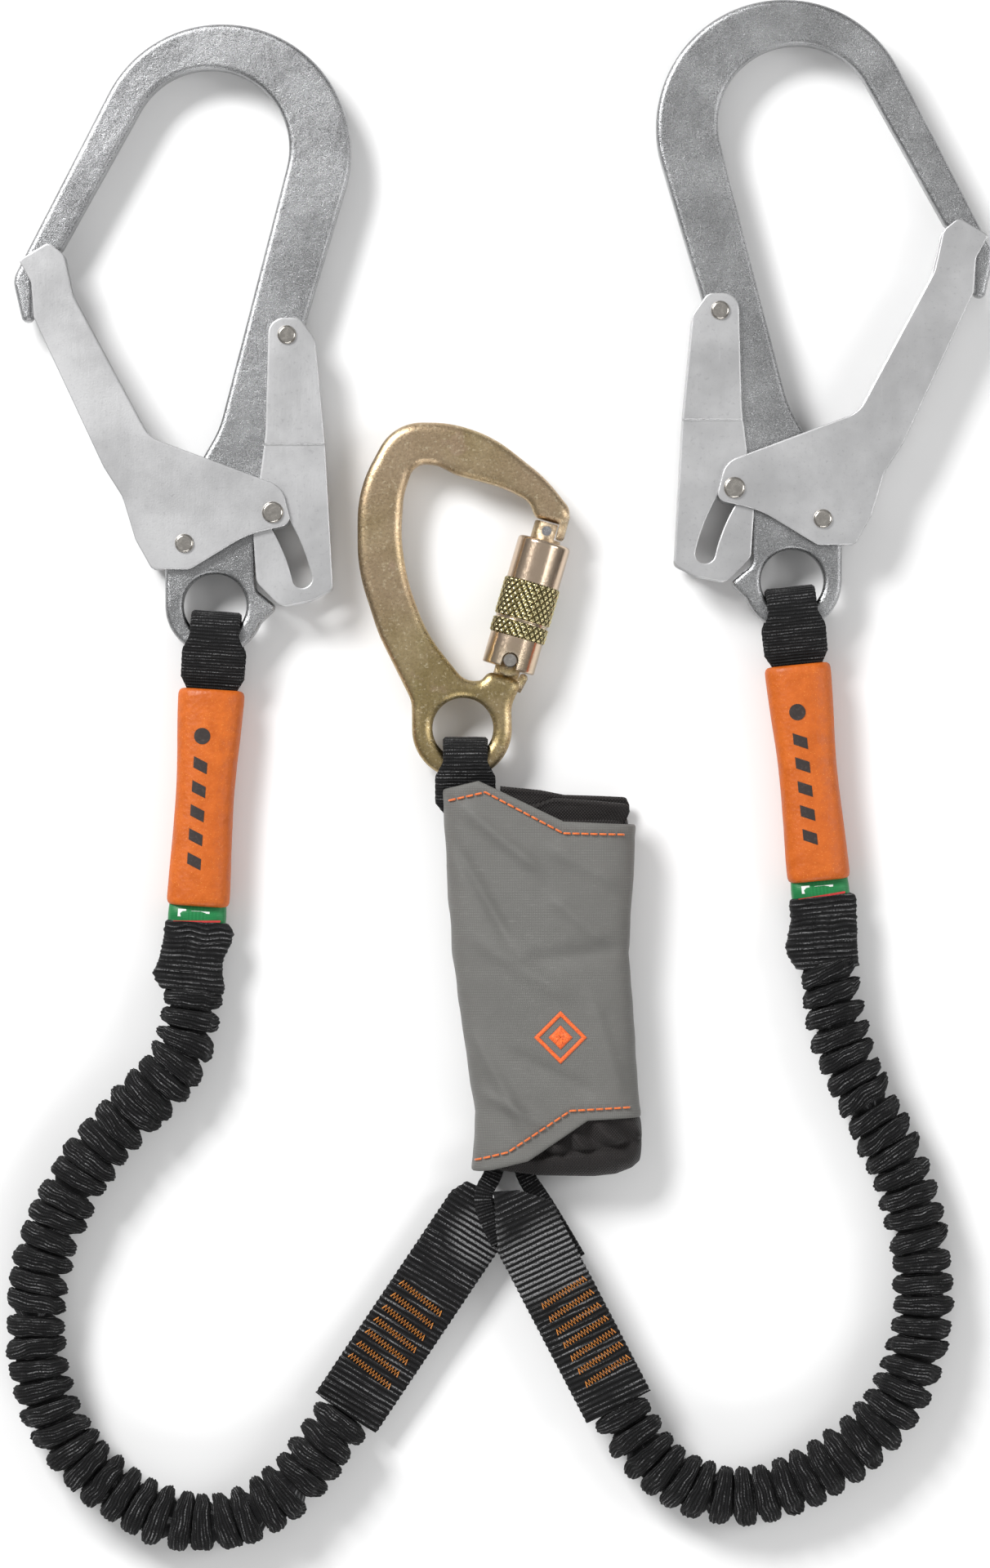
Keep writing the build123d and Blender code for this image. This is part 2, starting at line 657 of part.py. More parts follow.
def carabiner_frame():
    with BuildPart() as bow:
        with BuildSketch(Plane.XY.offset(-CARABINER_T / 2)):
            with BuildLine():
                outline(BOW_OUTLINE)
            make_face()
            with Locations(CARABINER_EYE):
                Circle(CARABINER_EYE_R, mode=Mode.SUBTRACT)
        extrude(amount=CARABINER_T)
        fillet(bow.faces().filter_by(Axis.Z).edges(), BOW_EDGE)
        # Lip of the nose, beside the closed gate.
        with BuildSketch(Plane.XY.offset(-LIP_T / 2)):
            with BuildLine():
                outline([
                    (*by_gate(LIP_END, LIP_SIDE[0]), 0.8), (*by_gate(LIP_END, LIP_SIDE[1]), 1.2),
                    (*by_gate(LIP_ROOT, LIP_SIDE[1] + 0.1), 1), (*by_gate(LIP_ROOT, LIP_SIDE[0]), 1),
                ])
            make_face()
        extrude(amount=LIP_T)
        # Tongue between the gate's two ears, and a nib beside it that keeps the sleeve off the frame.
        with BuildSketch(Plane.XY.offset(-TONGUE_T / 2)):
            with Locations(HINGE):
                Circle(TONGUE_R)
            with BuildLine():
                Polyline(
                    by_gate(0, TONGUE_R), by_gate(TONGUE_ROOT, TONGUE_R), by_gate(TONGUE_ROOT, -TONGUE_R),
                    by_gate(0, -TONGUE_R), close=True,
                )
            make_face()
            with BuildLine():
                outline([
                    (*by_gate(-3.5, -8.9), 1.6), (*by_gate(-3.5, -5.5), 1.4), (*by_gate(-11.0, -4.0), 0.5),
                    (*by_gate(-11.0, -7.4), 0.5),
                ])
            make_face()
        extrude(amount=TONGUE_T)
        with Locations((*HINGE, 0)):
            Hole(HINGE_RIVET_R + RUNNING, depth=CARABINER_T)
    return bow.part


def carabiner_gate():
    with BuildPart() as gate:
        with BuildSketch(Plane.XY.offset(-GATE_R)):
            Circle(GATE_R)
        extrude(amount=GATE_TOP + GATE_R)
        fillet(gate.faces().sort_by(Axis.Z)[-1].edges(), 0.8)
        with BuildSketch(Plane.XY.offset(RETAINER[0])):
            Circle(RETAINER_R)
        extrude(amount=RETAINER[1] - RETAINER[0])
        # Rounded hinge end.
        with BuildSketch(Plane.XZ):
            Rectangle(4 * GATE_R, 2 * GATE_R, align=(Align.CENTER, Align.MAX))
            Circle(GATE_R, mode=Mode.SUBTRACT)
        extrude(amount=2 * GATE_R, both=True, mode=Mode.SUBTRACT)
        # Slot for the frame's tongue.
        with BuildSketch(Plane.XY.offset(-2 * GATE_R)):
            Rectangle(4 * GATE_R, TONGUE_T + 2 * GATE_FIT)
        extrude(amount=2 * GATE_R + TONGUE_R + 1.4, mode=Mode.SUBTRACT)
        with BuildSketch(Plane.XZ):
            Circle(HINGE_RIVET_R + RUNNING)
            with Locations((NOSE_PIN_AT[1], NOSE_PIN_AT[0])):
                Circle(NOSE_PIN_R)
        extrude(amount=2 * GATE_R, both=True, mode=Mode.SUBTRACT)
        with BuildSketch(Plane.XY):
            Circle(GATE_BORE_R)
        extrude(amount=GATE_BORE_DEPTH, mode=Mode.SUBTRACT)
        # Flat for the nose's lip.
        with BuildSketch(Plane.XY.offset(LIP_END - 0.6)):
            with Locations((LIP_SIDE[0] + 0.4, 0)):
                Rectangle(4 * GATE_R, 4 * GATE_R, align=(Align.MAX, Align.CENTER))
        extrude(amount=20, mode=Mode.SUBTRACT)
    return gate.part


def lock_collar():
    """Lower half of the lock sleeve, notched for the hinge rivet."""
    with BuildPart() as collar:
        with BuildSketch(Plane.XY.offset(SLEEVE_END)):
            Circle(SLEEVE_R)
            Circle(SLEEVE_BORE, mode=Mode.SUBTRACT)
        extrude(amount=SLEEVE_SPLIT - SLEEVE_GAP - SLEEVE_END)
        fillet(collar.faces().sort_by(Axis.Z)[0].edges().sort_by(SortBy.LENGTH)[-1], 0.8)
        with BuildSketch(Plane.XZ):
            Circle(HINGE_RIVET_R + NOTCH_CLEARANCE)
            Rectangle(2 * (HINGE_RIVET_R + NOTCH_CLEARANCE), 10, align=(Align.CENTER, Align.MAX))
        extrude(amount=2 * SLEEVE_R, both=True, mode=Mode.SUBTRACT)
    return collar.part


def lock_sleeve():
    """Upper half of the lock sleeve, which turns."""
    with BuildPart() as sleeve:
        with BuildSketch(Plane.XY.offset(SLEEVE_SPLIT + SLEEVE_GAP)):
            Circle(SLEEVE_R)
            Circle(SLEEVE_BORE, mode=Mode.SUBTRACT)
        extrude(amount=SLEEVE_TOP - SLEEVE_SPLIT - SLEEVE_GAP)
        fillet(sleeve.faces().sort_by(Axis.Z)[-1].edges().sort_by(SortBy.LENGTH)[-1], 1.5)
        with BuildSketch(Plane.XY.offset(SLEEVE_SPACE[0])):
            Circle(SLEEVE_SPACE_R)
        extrude(amount=SLEEVE_SPACE[1] - SLEEVE_SPACE[0], mode=Mode.SUBTRACT)
    return sleeve.part


def nose_pin():
    along, left = NOSE_PIN_AT
    with BuildPart() as pin:
        with BuildSketch(Plane.XZ):
            with Locations((left, along)):
                Circle(NOSE_PIN_R)
        extrude(amount=NOSE_PIN_REACH, both=True)
    return pin.part


def hinge_rivet():
    with BuildPart() as pin:
        with BuildSketch(Plane.XZ):
            Circle(HINGE_RIVET_R)
        extrude(amount=SLEEVE_R - 0.3, both=True)
        chamfer(pin.edges().filter_by(GeomType.CIRCLE), 0.3)
    return pin.part


def gate_plunger():
    with BuildPart() as plunger:
        with BuildSketch(Plane.XY.offset(TONGUE_R + GATE_FIT)):
            Circle(GATE_BORE_R - GATE_FIT)
        extrude(amount=PLUNGER_LENGTH)
        fillet(plunger.faces().sort_by(Axis.Z)[0].edges(), 1.2)
    return plunger.part


# ---- Placing and writing every piece ----
print("arc radii of the legs:")
for side in ("left", "right"):
    origin, flip = HOOK_PLACES[side]
    hook_place = Location(in_layout(*origin, MID), (0, flip, 0))
    hook_pieces = {
        "hook_frame": hook_frame(),
        "gate": hook_gate(),
        "lock_lever": lock_lever(),
        "gate_rivet": rivet(GATE_PIVOT, RIVET_R, GATE_IN + SHEET + RUNNING, RIVET_HEAD_R),
        "lever_rivet": rivet(LEVER_PIVOT, RIVET_R, LEVER_IN + SHEET + LEVER_STEP + RUNNING, RIVET_HEAD_R),
        "lock_pin": rivet(LOCK_PIN, LOCK_PIN_R, GATE_IN + SHEET, PIN_HEAD_R),
        "gate_spring": gate_spring(),
        "lever_spring": lever_spring(),
        "gate_spacers": gate_spacers(),
    }
    for name, piece in hook_pieces.items():
        save(piece.moved(hook_place), f"{side}_{name}")

    swing, lean = STRAP_PLACES[side]
    strap_place = Location(in_layout(*swing, MID), (0, 0, lean))
    strap_pieces = {
        "hook_loop": wrapped_webbing(LOOP_W, LOOP_TAIL_W, WEBBING_T, LOOP_R, GRIP_TOP, LOOP_END),
        "grip": grip(),
        "fall_label": fall_label(),
        "cuff": cuff(),
    }
    for name, piece in strap_pieces.items():
        save(piece.moved(strap_place), f"{side}_{name}")

    route = LEG_ROUTES[side]
    bore = LEG_D / 2 - LEG_WALL
    sleeve, length = tube(route, LEG_D / 2, bore)
    core, _ = tube(route, bore - CORE_GAP)
    section = math.pi * ((LEG_D / 2) ** 2 - bore ** 2)
    print(side, [round(r) for r in route_radii(route)])
    print(f"length {length:.1f}, volume over section times length {sleeve.volume / section / length:.4f}")
    save(sleeve, f"{side}_leg_sleeve")
    save(core, f"{side}_leg_core")
    save(sewn_end(side), f"{side}_sewn_end")
    save(bar_tacks(side), f"{side}_bar_tacks")
    save(pack_strap(side), f"{side}_pack_strap")

loop_place = Location(in_layout(*CARABINER_SWING, MID))
top_loop = wrapped_webbing(TOP_LOOP_W, TOP_LOOP_TAIL_W, TOP_LOOP_T, TOP_LOOP_R, TOP_LOOP_NECK, TOP_LOOP_END)
save(top_loop.moved(loop_place), "pack_top_loop")
save(cover(), "pack_cover")
save(pouch(), "pack_pouch")
save(tear_webbing(), "tear_webbing")
save(emblem(), "pack_emblem")

save(carabiner_frame().moved(Location(in_layout(0, 0, MID))), "carabiner_frame")
leftwards = Vector(*by_gate(0, 1)) - Vector(*HINGE)
gatewards = Vector(*by_gate(1, 0)) - Vector(*HINGE)
gate_place = Plane(origin=in_layout(*HINGE, MID), x_dir=leftwards, z_dir=gatewards).location
gate_pieces = {
    "carabiner_gate": carabiner_gate(),
    "carabiner_lock_collar": lock_collar(),
    "carabiner_lock_sleeve": lock_sleeve(),
    "carabiner_nose_pin": nose_pin(),
    "carabiner_hinge_rivet": hinge_rivet(),
    "carabiner_gate_plunger": gate_plunger(),
    "carabiner_gate_spring": coil_spring(*GATE_COIL),
    "carabiner_sleeve_spring": coil_spring(*SLEEVE_COIL),
}
for name, piece in gate_pieces.items():
    save(piece.moved(gate_place), name)
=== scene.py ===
import random
from math import acos, atan2, copysign, cos, dist, exp, hypot, pi, radians, remainder, sin, sqrt, tan

import bmesh
import bpy
import numpy as np
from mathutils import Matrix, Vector, noise


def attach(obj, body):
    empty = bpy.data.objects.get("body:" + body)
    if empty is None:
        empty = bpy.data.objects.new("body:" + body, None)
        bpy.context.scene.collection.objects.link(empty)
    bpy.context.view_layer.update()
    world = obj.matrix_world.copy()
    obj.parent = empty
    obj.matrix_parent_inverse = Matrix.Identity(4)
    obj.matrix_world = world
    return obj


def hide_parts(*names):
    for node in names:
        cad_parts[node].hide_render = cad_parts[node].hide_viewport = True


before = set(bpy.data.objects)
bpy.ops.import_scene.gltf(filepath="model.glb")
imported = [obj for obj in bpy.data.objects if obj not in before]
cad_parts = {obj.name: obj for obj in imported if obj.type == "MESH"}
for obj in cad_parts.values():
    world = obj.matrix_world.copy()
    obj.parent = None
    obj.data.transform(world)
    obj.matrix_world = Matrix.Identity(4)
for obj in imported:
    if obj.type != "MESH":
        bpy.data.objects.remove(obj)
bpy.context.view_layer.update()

# Metres, in the CAD part's own frame. Sizes in the tables below are millimetres of the layout drawing,
# whose origin is at the pack's top edge.
MM = 0.001
MID = 12.8                  # height of the middle plane of hooks, carabiner and legs
SHIFT = (-3.35, -26.387)    # from the layout to the frame
ROOT = "webbing_and_pack"


def place(x, y, z=MID):
    return Vector(((x + SHIFT[0]) * MM, (y + SHIFT[1]) * MM, z * MM))


def add(name, data):
    """A new object in the scene."""
    made = bpy.data.objects.new(name, data)
    bpy.context.scene.collection.objects.link(made)
    return made


# -------- camera
FRAME_HEIGHT = 614.4 * MM
CAMERA_HEIGHT = 2.4
SENSOR = 36.0

camera_data = bpy.data.cameras.new("camera")
camera_data.sensor_fit = "VERTICAL"
camera_data.sensor_height = SENSOR
camera_data.lens = SENSOR * CAMERA_HEIGHT / FRAME_HEIGHT
camera_data.clip_end = 20.0
camera = add("camera", camera_data)
camera.location = place(0, 0, MID + CAMERA_HEIGHT / MM)
bpy.context.scene.camera = camera
bpy.context.scene.view_settings.view_transform = "Standard"


# -------- materials
class Nodes:
    """A material's node tree, with short calls for the nodes used here."""

    def __init__(self, name):
        self.material = bpy.data.materials.new(name)
        self.material.use_nodes = True
        self.tree = self.material.node_tree
        self.shader = self.tree.nodes["Principled BSDF"]
        self.normal = None

    def put(self, node, inputs):
        """Sets or links a node's inputs."""
        for socket, value in inputs.items():
            if hasattr(value, "is_output"):
                self.tree.links.new(value, node.inputs[socket])
            else:
                node.inputs[socket].default_value = value

    def new(self, kind, output, inputs={}, **settings):
        """A node with its settings and inputs. Gives one of its outputs."""
        node = self.tree.nodes.new("ShaderNode" + kind)
        for key, value in settings.items():
            setattr(node, key, value)
        self.put(node, inputs)
        return node.outputs[output]

    def set(self, **values):
        self.put(self.shader, {key.replace("_", " "): value for key, value in values.items()})

    def map(self, source, scale, turn):
        return self.new("Mapping", 0, {"Vector": source, "Scale": scale, "Rotation": (0, 0, turn)})

    def where(self, scale=(1, 1, 1), turn=0.0):
        """The object's own coordinates in metres."""
        return self.map(self.new("TexCoord", "Object"), scale, turn)

    def weave(self, scale=(1, 1, 1), turn=0.0):
        """The piece's weave map in millimetres."""
        return self.map(self.new("UVMap", "UV", uv_map="weave"), scale, turn)

    def noise(self, where, scale, detail=4.0, rough=0.55, distort=0.0):
        names = ("Vector", "Scale", "Detail", "Roughness", "Distortion")
        return self.new("TexNoise", "Fac", dict(zip(names, (where, scale, detail, rough, distort))))

    def wave(self, where, scale, direction, distort=0.0, detail=2.0, detail_scale=1.0):
        names = ("Vector", "Scale", "Distortion", "Detail", "Detail Scale")
        inputs = dict(zip(names, (where, scale, distort, detail, detail_scale)))
        return self.new("TexWave", "Fac", inputs, bands_direction=direction)

    def math(self, a, b, operation="MULTIPLY"):
        return self.new("Math", 0, {0: a, 1: b}, operation=operation)

    def ramp(self, value, low, high, start=0.0, stop=1.0):
        """Value mapped from low..high to start..stop, smooth and clamped."""
        names = ("Value", "From Min", "From Max", "To Min", "To Max")
        inputs = dict(zip(names, (value, low, high, start, stop)))
        return self.new("MapRange", 0, inputs, interpolation_type="SMOOTHSTEP")

    def mix(self, share, a, b):
        a, b = (c if hasattr(c, "is_output") else (*c, 1.0) for c in (a, b))
        return self.new("Mix", 2, {"Factor": share, 6: a, 7: b}, data_type="RGBA")

    def over(self, colour, value, low, high, other, most=1.0):
        """Another colour laid over the first as value goes from low to high."""
        return self.mix(self.ramp(value, low, high, 0.0, most), colour, other)

    def bump(self, height, depth):
        """Adds a bump of the given depth in metres on top of those already there."""
        below = {"Normal": self.normal} if self.normal else {}
        self.lean(self.new("Bump", 0, {"Strength": 1.0, "Distance": depth, "Height": height, **below}))

    def round_edges(self, radius):
        """Shades sharp edges as if rounded. Comes before the bumps."""
        self.lean(self.new("Bevel", 0, {"Radius": radius}, samples=6))

    def lean(self, normal):
        self.normal = normal
        self.set(Normal=normal)

    def edges(self, radius, most):
        """Up to most on edges and 0 on flats, by how far a rounded normal leans from the true one: the mask
        of a painted highlight along the edges.
        """
        rounded = self.new("Bevel", 0, {"Radius": radius}, samples=4)
        true = self.new("NewGeometry", "Normal")
        dot = self.new("VectorMath", "Value", {0: rounded, 1: true}, operation="DOT_PRODUCT")
        return self.ramp(dot, 0.99, 0.86, 0.0, most)


WAVE = 0.3183       # a wave texture's scale for a period of 1 mm
KNURL_WAVE = 0.1    # and for the square of the sine of the weave map


def scaled(colour, factor, plus=0.0):
    return tuple(min(1.0, plus + factor * c) for c in colour)


def hook_steel():
    """Plated steel: a fine grain, soft clouds, small bright and dark specks, and a painted highlight along
    the edges.
    """
    n = Nodes("hook_steel")
    n.round_edges(0.0012)
    where = n.where()
    dark = (0.27, 0.272, 0.277)
    fine = n.noise(where, 2200, 3, 0.7)
    colour = n.over(dark, n.noise(where, 45, 3), 0.3, 0.7, (0.40, 0.403, 0.41))
    colour = n.over(colour, fine, 0.5, 0.72, (0.92, 0.92, 0.92), 0.35)
    colour = n.over(colour, fine, 0.46, 0.3, scaled(dark, 0.45), 0.28)
    # Painted highlight: the edges are lightened towards pale grey.
    colour = n.mix(n.edges(0.0012, 0.55), colour, (0.86, 0.86, 0.85))
    n.set(Base_Color=colour, Metallic=1.0, Roughness=n.ramp(fine, 0.3, 0.75, 0.22, 0.40))
    n.bump(fine, 0.00012)
    n.bump(n.noise(where, 260, 4, 0.6), 0.000192)
    return n.material


def gate_sheet():
    """Rolled sheet with a matte zinc plate, faint scuffs, and a painted highlight along the edges."""
    n = Nodes("gate_sheet")
    n.round_edges(0.001)
    where = n.where()
    clouds = n.noise(where, 30, 4, 0.6)
    scuffs = n.noise(n.where((1, 0.12, 1), 0.5), 420, 4, 0.7)
    colour = n.over((0.53, 0.53, 0.535), clouds, 0.3, 0.7, (0.60, 0.60, 0.605))
    colour = n.over(colour, scuffs, 0.62, 0.75, (0.72, 0.72, 0.73), 0.35)
    colour = n.over(colour, n.noise(where, 700, 3, 0.7), 0.55, 0.75, (0.30, 0.30, 0.31), 0.35)
    # Painted highlight: the edges are lightened almost to white.
    colour = n.mix(n.edges(0.0008, 0.5), colour, (0.95, 0.95, 0.95))
    n.set(Base_Color=colour, Metallic=0.9, Roughness=n.ramp(clouds, 0.3, 0.7, 0.38, 0.46))
    n.bump(n.noise(where, 1500, 2, 0.6), 0.00003)
    n.bump(scuffs, 0.00004)
    return n.material


def nickel(name, colour):
    """Bright turned metal, a little worn."""
    n = Nodes(name)
    wear = n.noise(n.where(), 500, 4, 0.7)
    colour = n.over(colour, wear, 0.4, 0.7, scaled(colour, 1.2))
    n.set(Base_Color=colour, Metallic=1.0, Roughness=n.ramp(wear, 0.3, 0.7, 0.14, 0.3))
    n.bump(wear, 0.00003)
    return n.material


def yellow_zinc(name, gloss, edge, knurled=False):
    """Yellow zinc plate: olive to pink tints, a cast grain where it isn't machined, and a painted highlight
    along the edges.
    """
    n = Nodes(name)
    if edge:
        n.round_edges(edge)
    where = n.where()
    streaks = n.noise(n.where((1, 0.3, 1), -0.3), 120, 3, 0.6)
    fine = n.noise(where, 1100, 3, 0.7)
    colour = n.over((0.36, 0.275, 0.13), n.noise(where, 38, 4, 0.6, 0.8), 0.38, 0.62, (0.50, 0.39, 0.22))
    colour = n.over(colour, streaks, 0.5, 0.72, (0.46, 0.40, 0.20), 0.35)
    colour = n.over(colour, n.noise(where, 13, 2), 0.42, 0.6, (0.56, 0.41, 0.29), 0.6)
    colour = n.over(colour, n.noise(where, 75, 3), 0.58, 0.7, (0.60, 0.42, 0.32), 0.4)
    if gloss:
        colour = n.mix(0.45, colour, (0.74, 0.60, 0.50))
    else:
        colour = n.over(colour, n.noise(where, 900, 2, 0.6), 0.55, 0.75, (0.90, 0.78, 0.55), 0.6)
    # Painted highlight: the edges and rims are lightened to a pale gold.
    colour = n.mix(n.edges(0.0022, 0.5), colour, (0.92, 0.80, 0.62))
    if knurled:
        # Painted shade: on a knurled piece the grooves are coloured nearly black and the ridges pale.
        weave = n.weave()
        ridge = n.math(n.wave(weave, KNURL_WAVE, "X"), n.wave(weave, KNURL_WAVE, "Y"), "MINIMUM")
        colour = n.over((0.07, 0.055, 0.02), ridge, 0.02, 0.4, (0.62, 0.55, 0.30))
    rough = (0.14, 0.24) if gloss else (0.24, 0.38)
    n.set(Base_Color=colour, Metallic=1.0, Roughness=n.ramp(fine, 0.3, 0.7, *rough))
    n.bump(fine, 0.00002 if gloss else 0.00007)
    if not gloss:
        n.bump(n.noise(where, 300, 3), 0.0001)
    return n.material


def woven(name, dark, light, rib, thread, depth, worn, sheen=0.05, streak=(0.05, 1.2, 1), rubs=()):
    """Webbing on the weave map: ribs across, threads along, pale worn streaks, and spots rubbed paler."""
    n = Nodes(name)
    weave = n.weave()
    ribs = n.wave(weave, WAVE / rib, "Y", 1.1, 2, 0.5)
    threads = n.wave(weave, WAVE / thread, "X", 0.8, 2, 1.0)
    cloth = n.math(n.math(ribs, 0.72), n.math(threads, 0.28), "ADD")
    specks = n.noise(weave, 1.6, 3, 0.7)
    streaks = n.noise(n.weave(streak), 1.0, 4, 0.7)
    pale = n.math(n.ramp(streaks, 0.49, 0.62), n.ramp(specks, 0.42, 0.58))
    pale = n.math(pale, n.ramp(ribs, 0.45, 0.8))
    for spot, radius in rubs:
        far = n.new("VectorMath", "Value", {0: n.where(), 1: spot}, operation="DISTANCE")
        rubbed = n.math(n.ramp(ribs, 0.35, 0.75), n.ramp(specks, 0.34, 0.56))
        pale = n.math(pale, n.math(n.ramp(far, radius, radius * 0.5), rubbed), "MAXIMUM")
    colour = n.over(scaled(dark, 0.45), cloth, 0.25, 0.8, light)
    colour = n.over(colour, n.noise(weave, 0.35, 2), 0.35, 0.65, dark, 0.35)
    colour = n.mix(n.math(pale, worn), colour, scaled(light, 4.5, 0.21))
    n.set(Base_Color=colour, Roughness=0.78, Sheen_Weight=sheen, Sheen_Roughness=0.45,
          Specular_IOR_Level=0.22)
    n.bump(cloth, depth)
    n.bump(specks, depth * 0.35)
    return n.material


def orange_grip():
    """Moulded rubber, mottled and dimpled, with fine pale specks painted as glints."""
    n = Nodes("orange_grip")
    where = n.where()
    mottle = n.noise(where, 160, 4, 0.65)
    colour = n.over((0.47, 0.092, 0.005), mottle, 0.3, 0.72, (0.60, 0.128, 0.008))
    colour = n.over(colour, n.noise(where, 40, 3, 0.5), 0.4, 0.65, (0.50, 0.095, 0.006), 0.4)
    # Painted highlight: fine pale orange specks stand in for glints on the rubber.
    colour = n.over(colour, n.noise(where, 1900, 2, 0.6), 0.6, 0.72, (0.86, 0.33, 0.07), 0.45)
    n.set(Base_Color=colour, Roughness=n.ramp(mottle, 0.3, 0.7, 0.42, 0.6), Specular_IOR_Level=0.4)
    n.bump(n.new("TexVoronoi", "Distance", {"Vector": where, "Scale": 620}), 0.00012)
    n.bump(mottle, 0.0002)
    return n.material


def plain_cloth(name, dark, light, cell, depth, rough=0.8, sheen=0.2, turn=0.0):
    """Plain or twill cloth woven on the weave map."""
    n = Nodes(name)
    weave = n.weave(turn=turn)
    cloth = n.math(n.wave(weave, WAVE / cell, "X", 0.3, 1), n.wave(weave, WAVE / cell, "Y", 0.3, 1))
    slubs = n.noise(n.weave((0.15, 1.6, 1)), 1.0, 3, 0.7)
    colour = n.over(dark, cloth, 0.1, 0.7, light)
    colour = n.over(colour, slubs, 0.55, 0.75, scaled(light, 1.25), 0.4)
    colour = n.over(colour, n.noise(weave, 0.05), 0.35, 0.7, dark, 0.5)
    n.set(Base_Color=colour, Roughness=rough, Sheen_Weight=sheen, Sheen_Roughness=0.5,
          Specular_IOR_Level=0.3)
    n.bump(cloth, depth)
    n.bump(slubs, depth * 0.5)
    return n.material


def thread(name, dark, light):
    n = Nodes(name)
    strands = n.noise(n.where(), 1800, 3, 0.6)
    n.set(Base_Color=n.over(dark, strands, 0.35, 0.65, light), Roughness=0.55, Sheen_Weight=0.3)
    n.bump(strands, 0.0001)
    return n.material


def print_ink(name, colour):
    """Flat print with pale specks of wear."""
    n = Nodes(name)
    wear = n.noise(n.where(), 900, 4, 0.7)
    n.set(Base_Color=n.over(colour, wear, 0.5, 0.75, scaled(colour, 3, 0.05), 0.35), Roughness=0.6)
    n.bump(wear, 0.00005)
    return n.material


HOOK_STEEL = hook_steel()
GATE_SHEET = gate_sheet()
NICKEL = nickel("rivet_nickel", (0.46, 0.435, 0.40))
SPRING = nickel("spring_steel", (0.42, 0.42, 0.43))
WASHER = nickel("washer", (0.60, 0.60, 0.58))
BOW = yellow_zinc("yellow_zinc", False, 0.0035)
SLEEVE = yellow_zinc("yellow_zinc_gloss", True, 0.0005)
KNURL = yellow_zinc("yellow_zinc_knurl", True, 0, True)
BLACK = woven("black_webbing", (0.004, 0.004, 0.0043), (0.013, 0.013, 0.014), 1.3, 0.9, 0.0005, 0.7)
RUBS = [(place(24, -184, 22), 0.019), (place(12, -190, 22), 0.016), (place(-6, -178), 0.015)]
BLACK_END = woven("ribbed_end", (0.004, 0.004, 0.0043), (0.014, 0.014, 0.015), 2.2, 0.7, 0.0006, 1.0,
                  rubs=RUBS)
LEG = woven("gathered_webbing", (0.0025, 0.0025, 0.0027), (0.011, 0.011, 0.012), 1.3, 0.8, 0.0007, 1.0,
            0.03, (0.09, 0.9, 1))
ORANGE = orange_grip()
GREEN = plain_cloth("label_green", (0.010, 0.16, 0.045), (0.02, 0.26, 0.08), 0.5, 0.00003, 0.35, 0.1)
GREY = plain_cloth("cover_grey", (0.125, 0.123, 0.115), (0.215, 0.212, 0.200), 0.62, 0.00009, 0.55, 0.08)
DARK = plain_cloth("pouch_dark", (0.006, 0.0045, 0.0042), (0.026, 0.0195, 0.018), 0.9, 0.00025, 0.55, 0.12,
                   0.785)
TEAR = plain_cloth("tear_ply", (0.42, 0.40, 0.35), (0.60, 0.57, 0.50), 1.4, 0.0003)
ORANGE_THREAD = thread("orange_thread", (0.58, 0.10, 0.012), (0.86, 0.20, 0.03))
TACK_THREAD = thread("tack_thread", (0.60, 0.18, 0.010), (0.85, 0.31, 0.03))
EMBROIDERY = thread("emblem_thread", (0.70, 0.085, 0.008), (0.95, 0.17, 0.018))
INK = print_ink("dark_print", (0.02, 0.012, 0.01))
WHITE_INK = print_ink("white_print", (0.75, 0.78, 0.75))
RED_INK = print_ink("red_print", (0.45, 0.02, 0.02))

# What the CAD nodes that stay are made of. Names without a side stand for both.
NODE_MATERIALS = {
    "hook_frame": HOOK_STEEL, "gate": GATE_SHEET, "lock_lever": GATE_SHEET, "gate_rivet": NICKEL,
    "lever_rivet": NICKEL, "lock_pin": NICKEL, "gate_spring": SPRING, "lever_spring": SPRING,
    "gate_spacers": WASHER, "carabiner_frame": BOW, "carabiner_gate": BOW, "carabiner_lock_collar": SLEEVE,
    "carabiner_lock_sleeve": SLEEVE, "carabiner_nose_pin": SPRING, "carabiner_hinge_rivet": NICKEL,
    "carabiner_gate_plunger": SPRING, "carabiner_gate_spring": SPRING, "carabiner_sleeve_spring": SPRING,
    "tear_webbing": TEAR,
}
for node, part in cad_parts.items():
    material = NODE_MATERIALS.get(node.removeprefix("left_").removeprefix("right_"))
    if material:
        part.data.materials.clear()
        part.data.materials.append(material)


# -------- mesh helpers
def wobble(x, y, z):
    """Smooth noise, from about -1 to 1."""
    return noise.noise(Vector((x, y, z)))


def turns(count):
    """Angles spaced evenly round a circle."""
    return [2 * pi * k / count for k in range(count)]


def squared(angle, power_x, power_z):
    """A circle's point, squared off by powers below 1."""
    c, s = cos(angle), sin(angle)
    return copysign(abs(c) ** power_x, c), copysign(abs(s) ** power_z, s)


def bell(distance, width):
    return exp(-(distance / width) ** 2)


def unit(rows):
    return rows / np.linalg.norm(rows, axis=1)[:, None]


def lookup(x, table, column=1):
    """A column of a table at x, read between its rows. The first column rises."""
    return float(np.interp(x, [row[0] for row in table], [row[column] for row in table]))


def distances(line):
    """How far each point of a line is along it."""
    return np.concatenate([[0], np.cumsum(np.linalg.norm(np.diff(line, axis=0), axis=1))])


def points_at(line, far, at):
    """The line's points at some distances."""
    return np.stack([np.interp(at, far, column) for column in line.T], axis=1)


def even_line(points, step):
    """The line resampled at an even step: points and their distances."""
    line = np.array([tuple(p) for p in points], float)
    far = distances(line)
    at = np.linspace(0, far[-1], max(2, int(round(far[-1] / step)) + 1))
    return points_at(line, far, at), at


def add_piece(name, mesh, slot, replaces=(), body=ROOT):
    """A mesh as a piece that rides on a body, its normals turned outwards."""
    shell = bmesh.new()
    shell.from_mesh(mesh)
    bmesh.ops.recalc_face_normals(shell, faces=shell.faces)
    shell.to_mesh(mesh)
    shell.free()
    piece = add(name, mesh)
    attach(piece, body)
    if replaces:
        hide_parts(*replaces)
    return piece


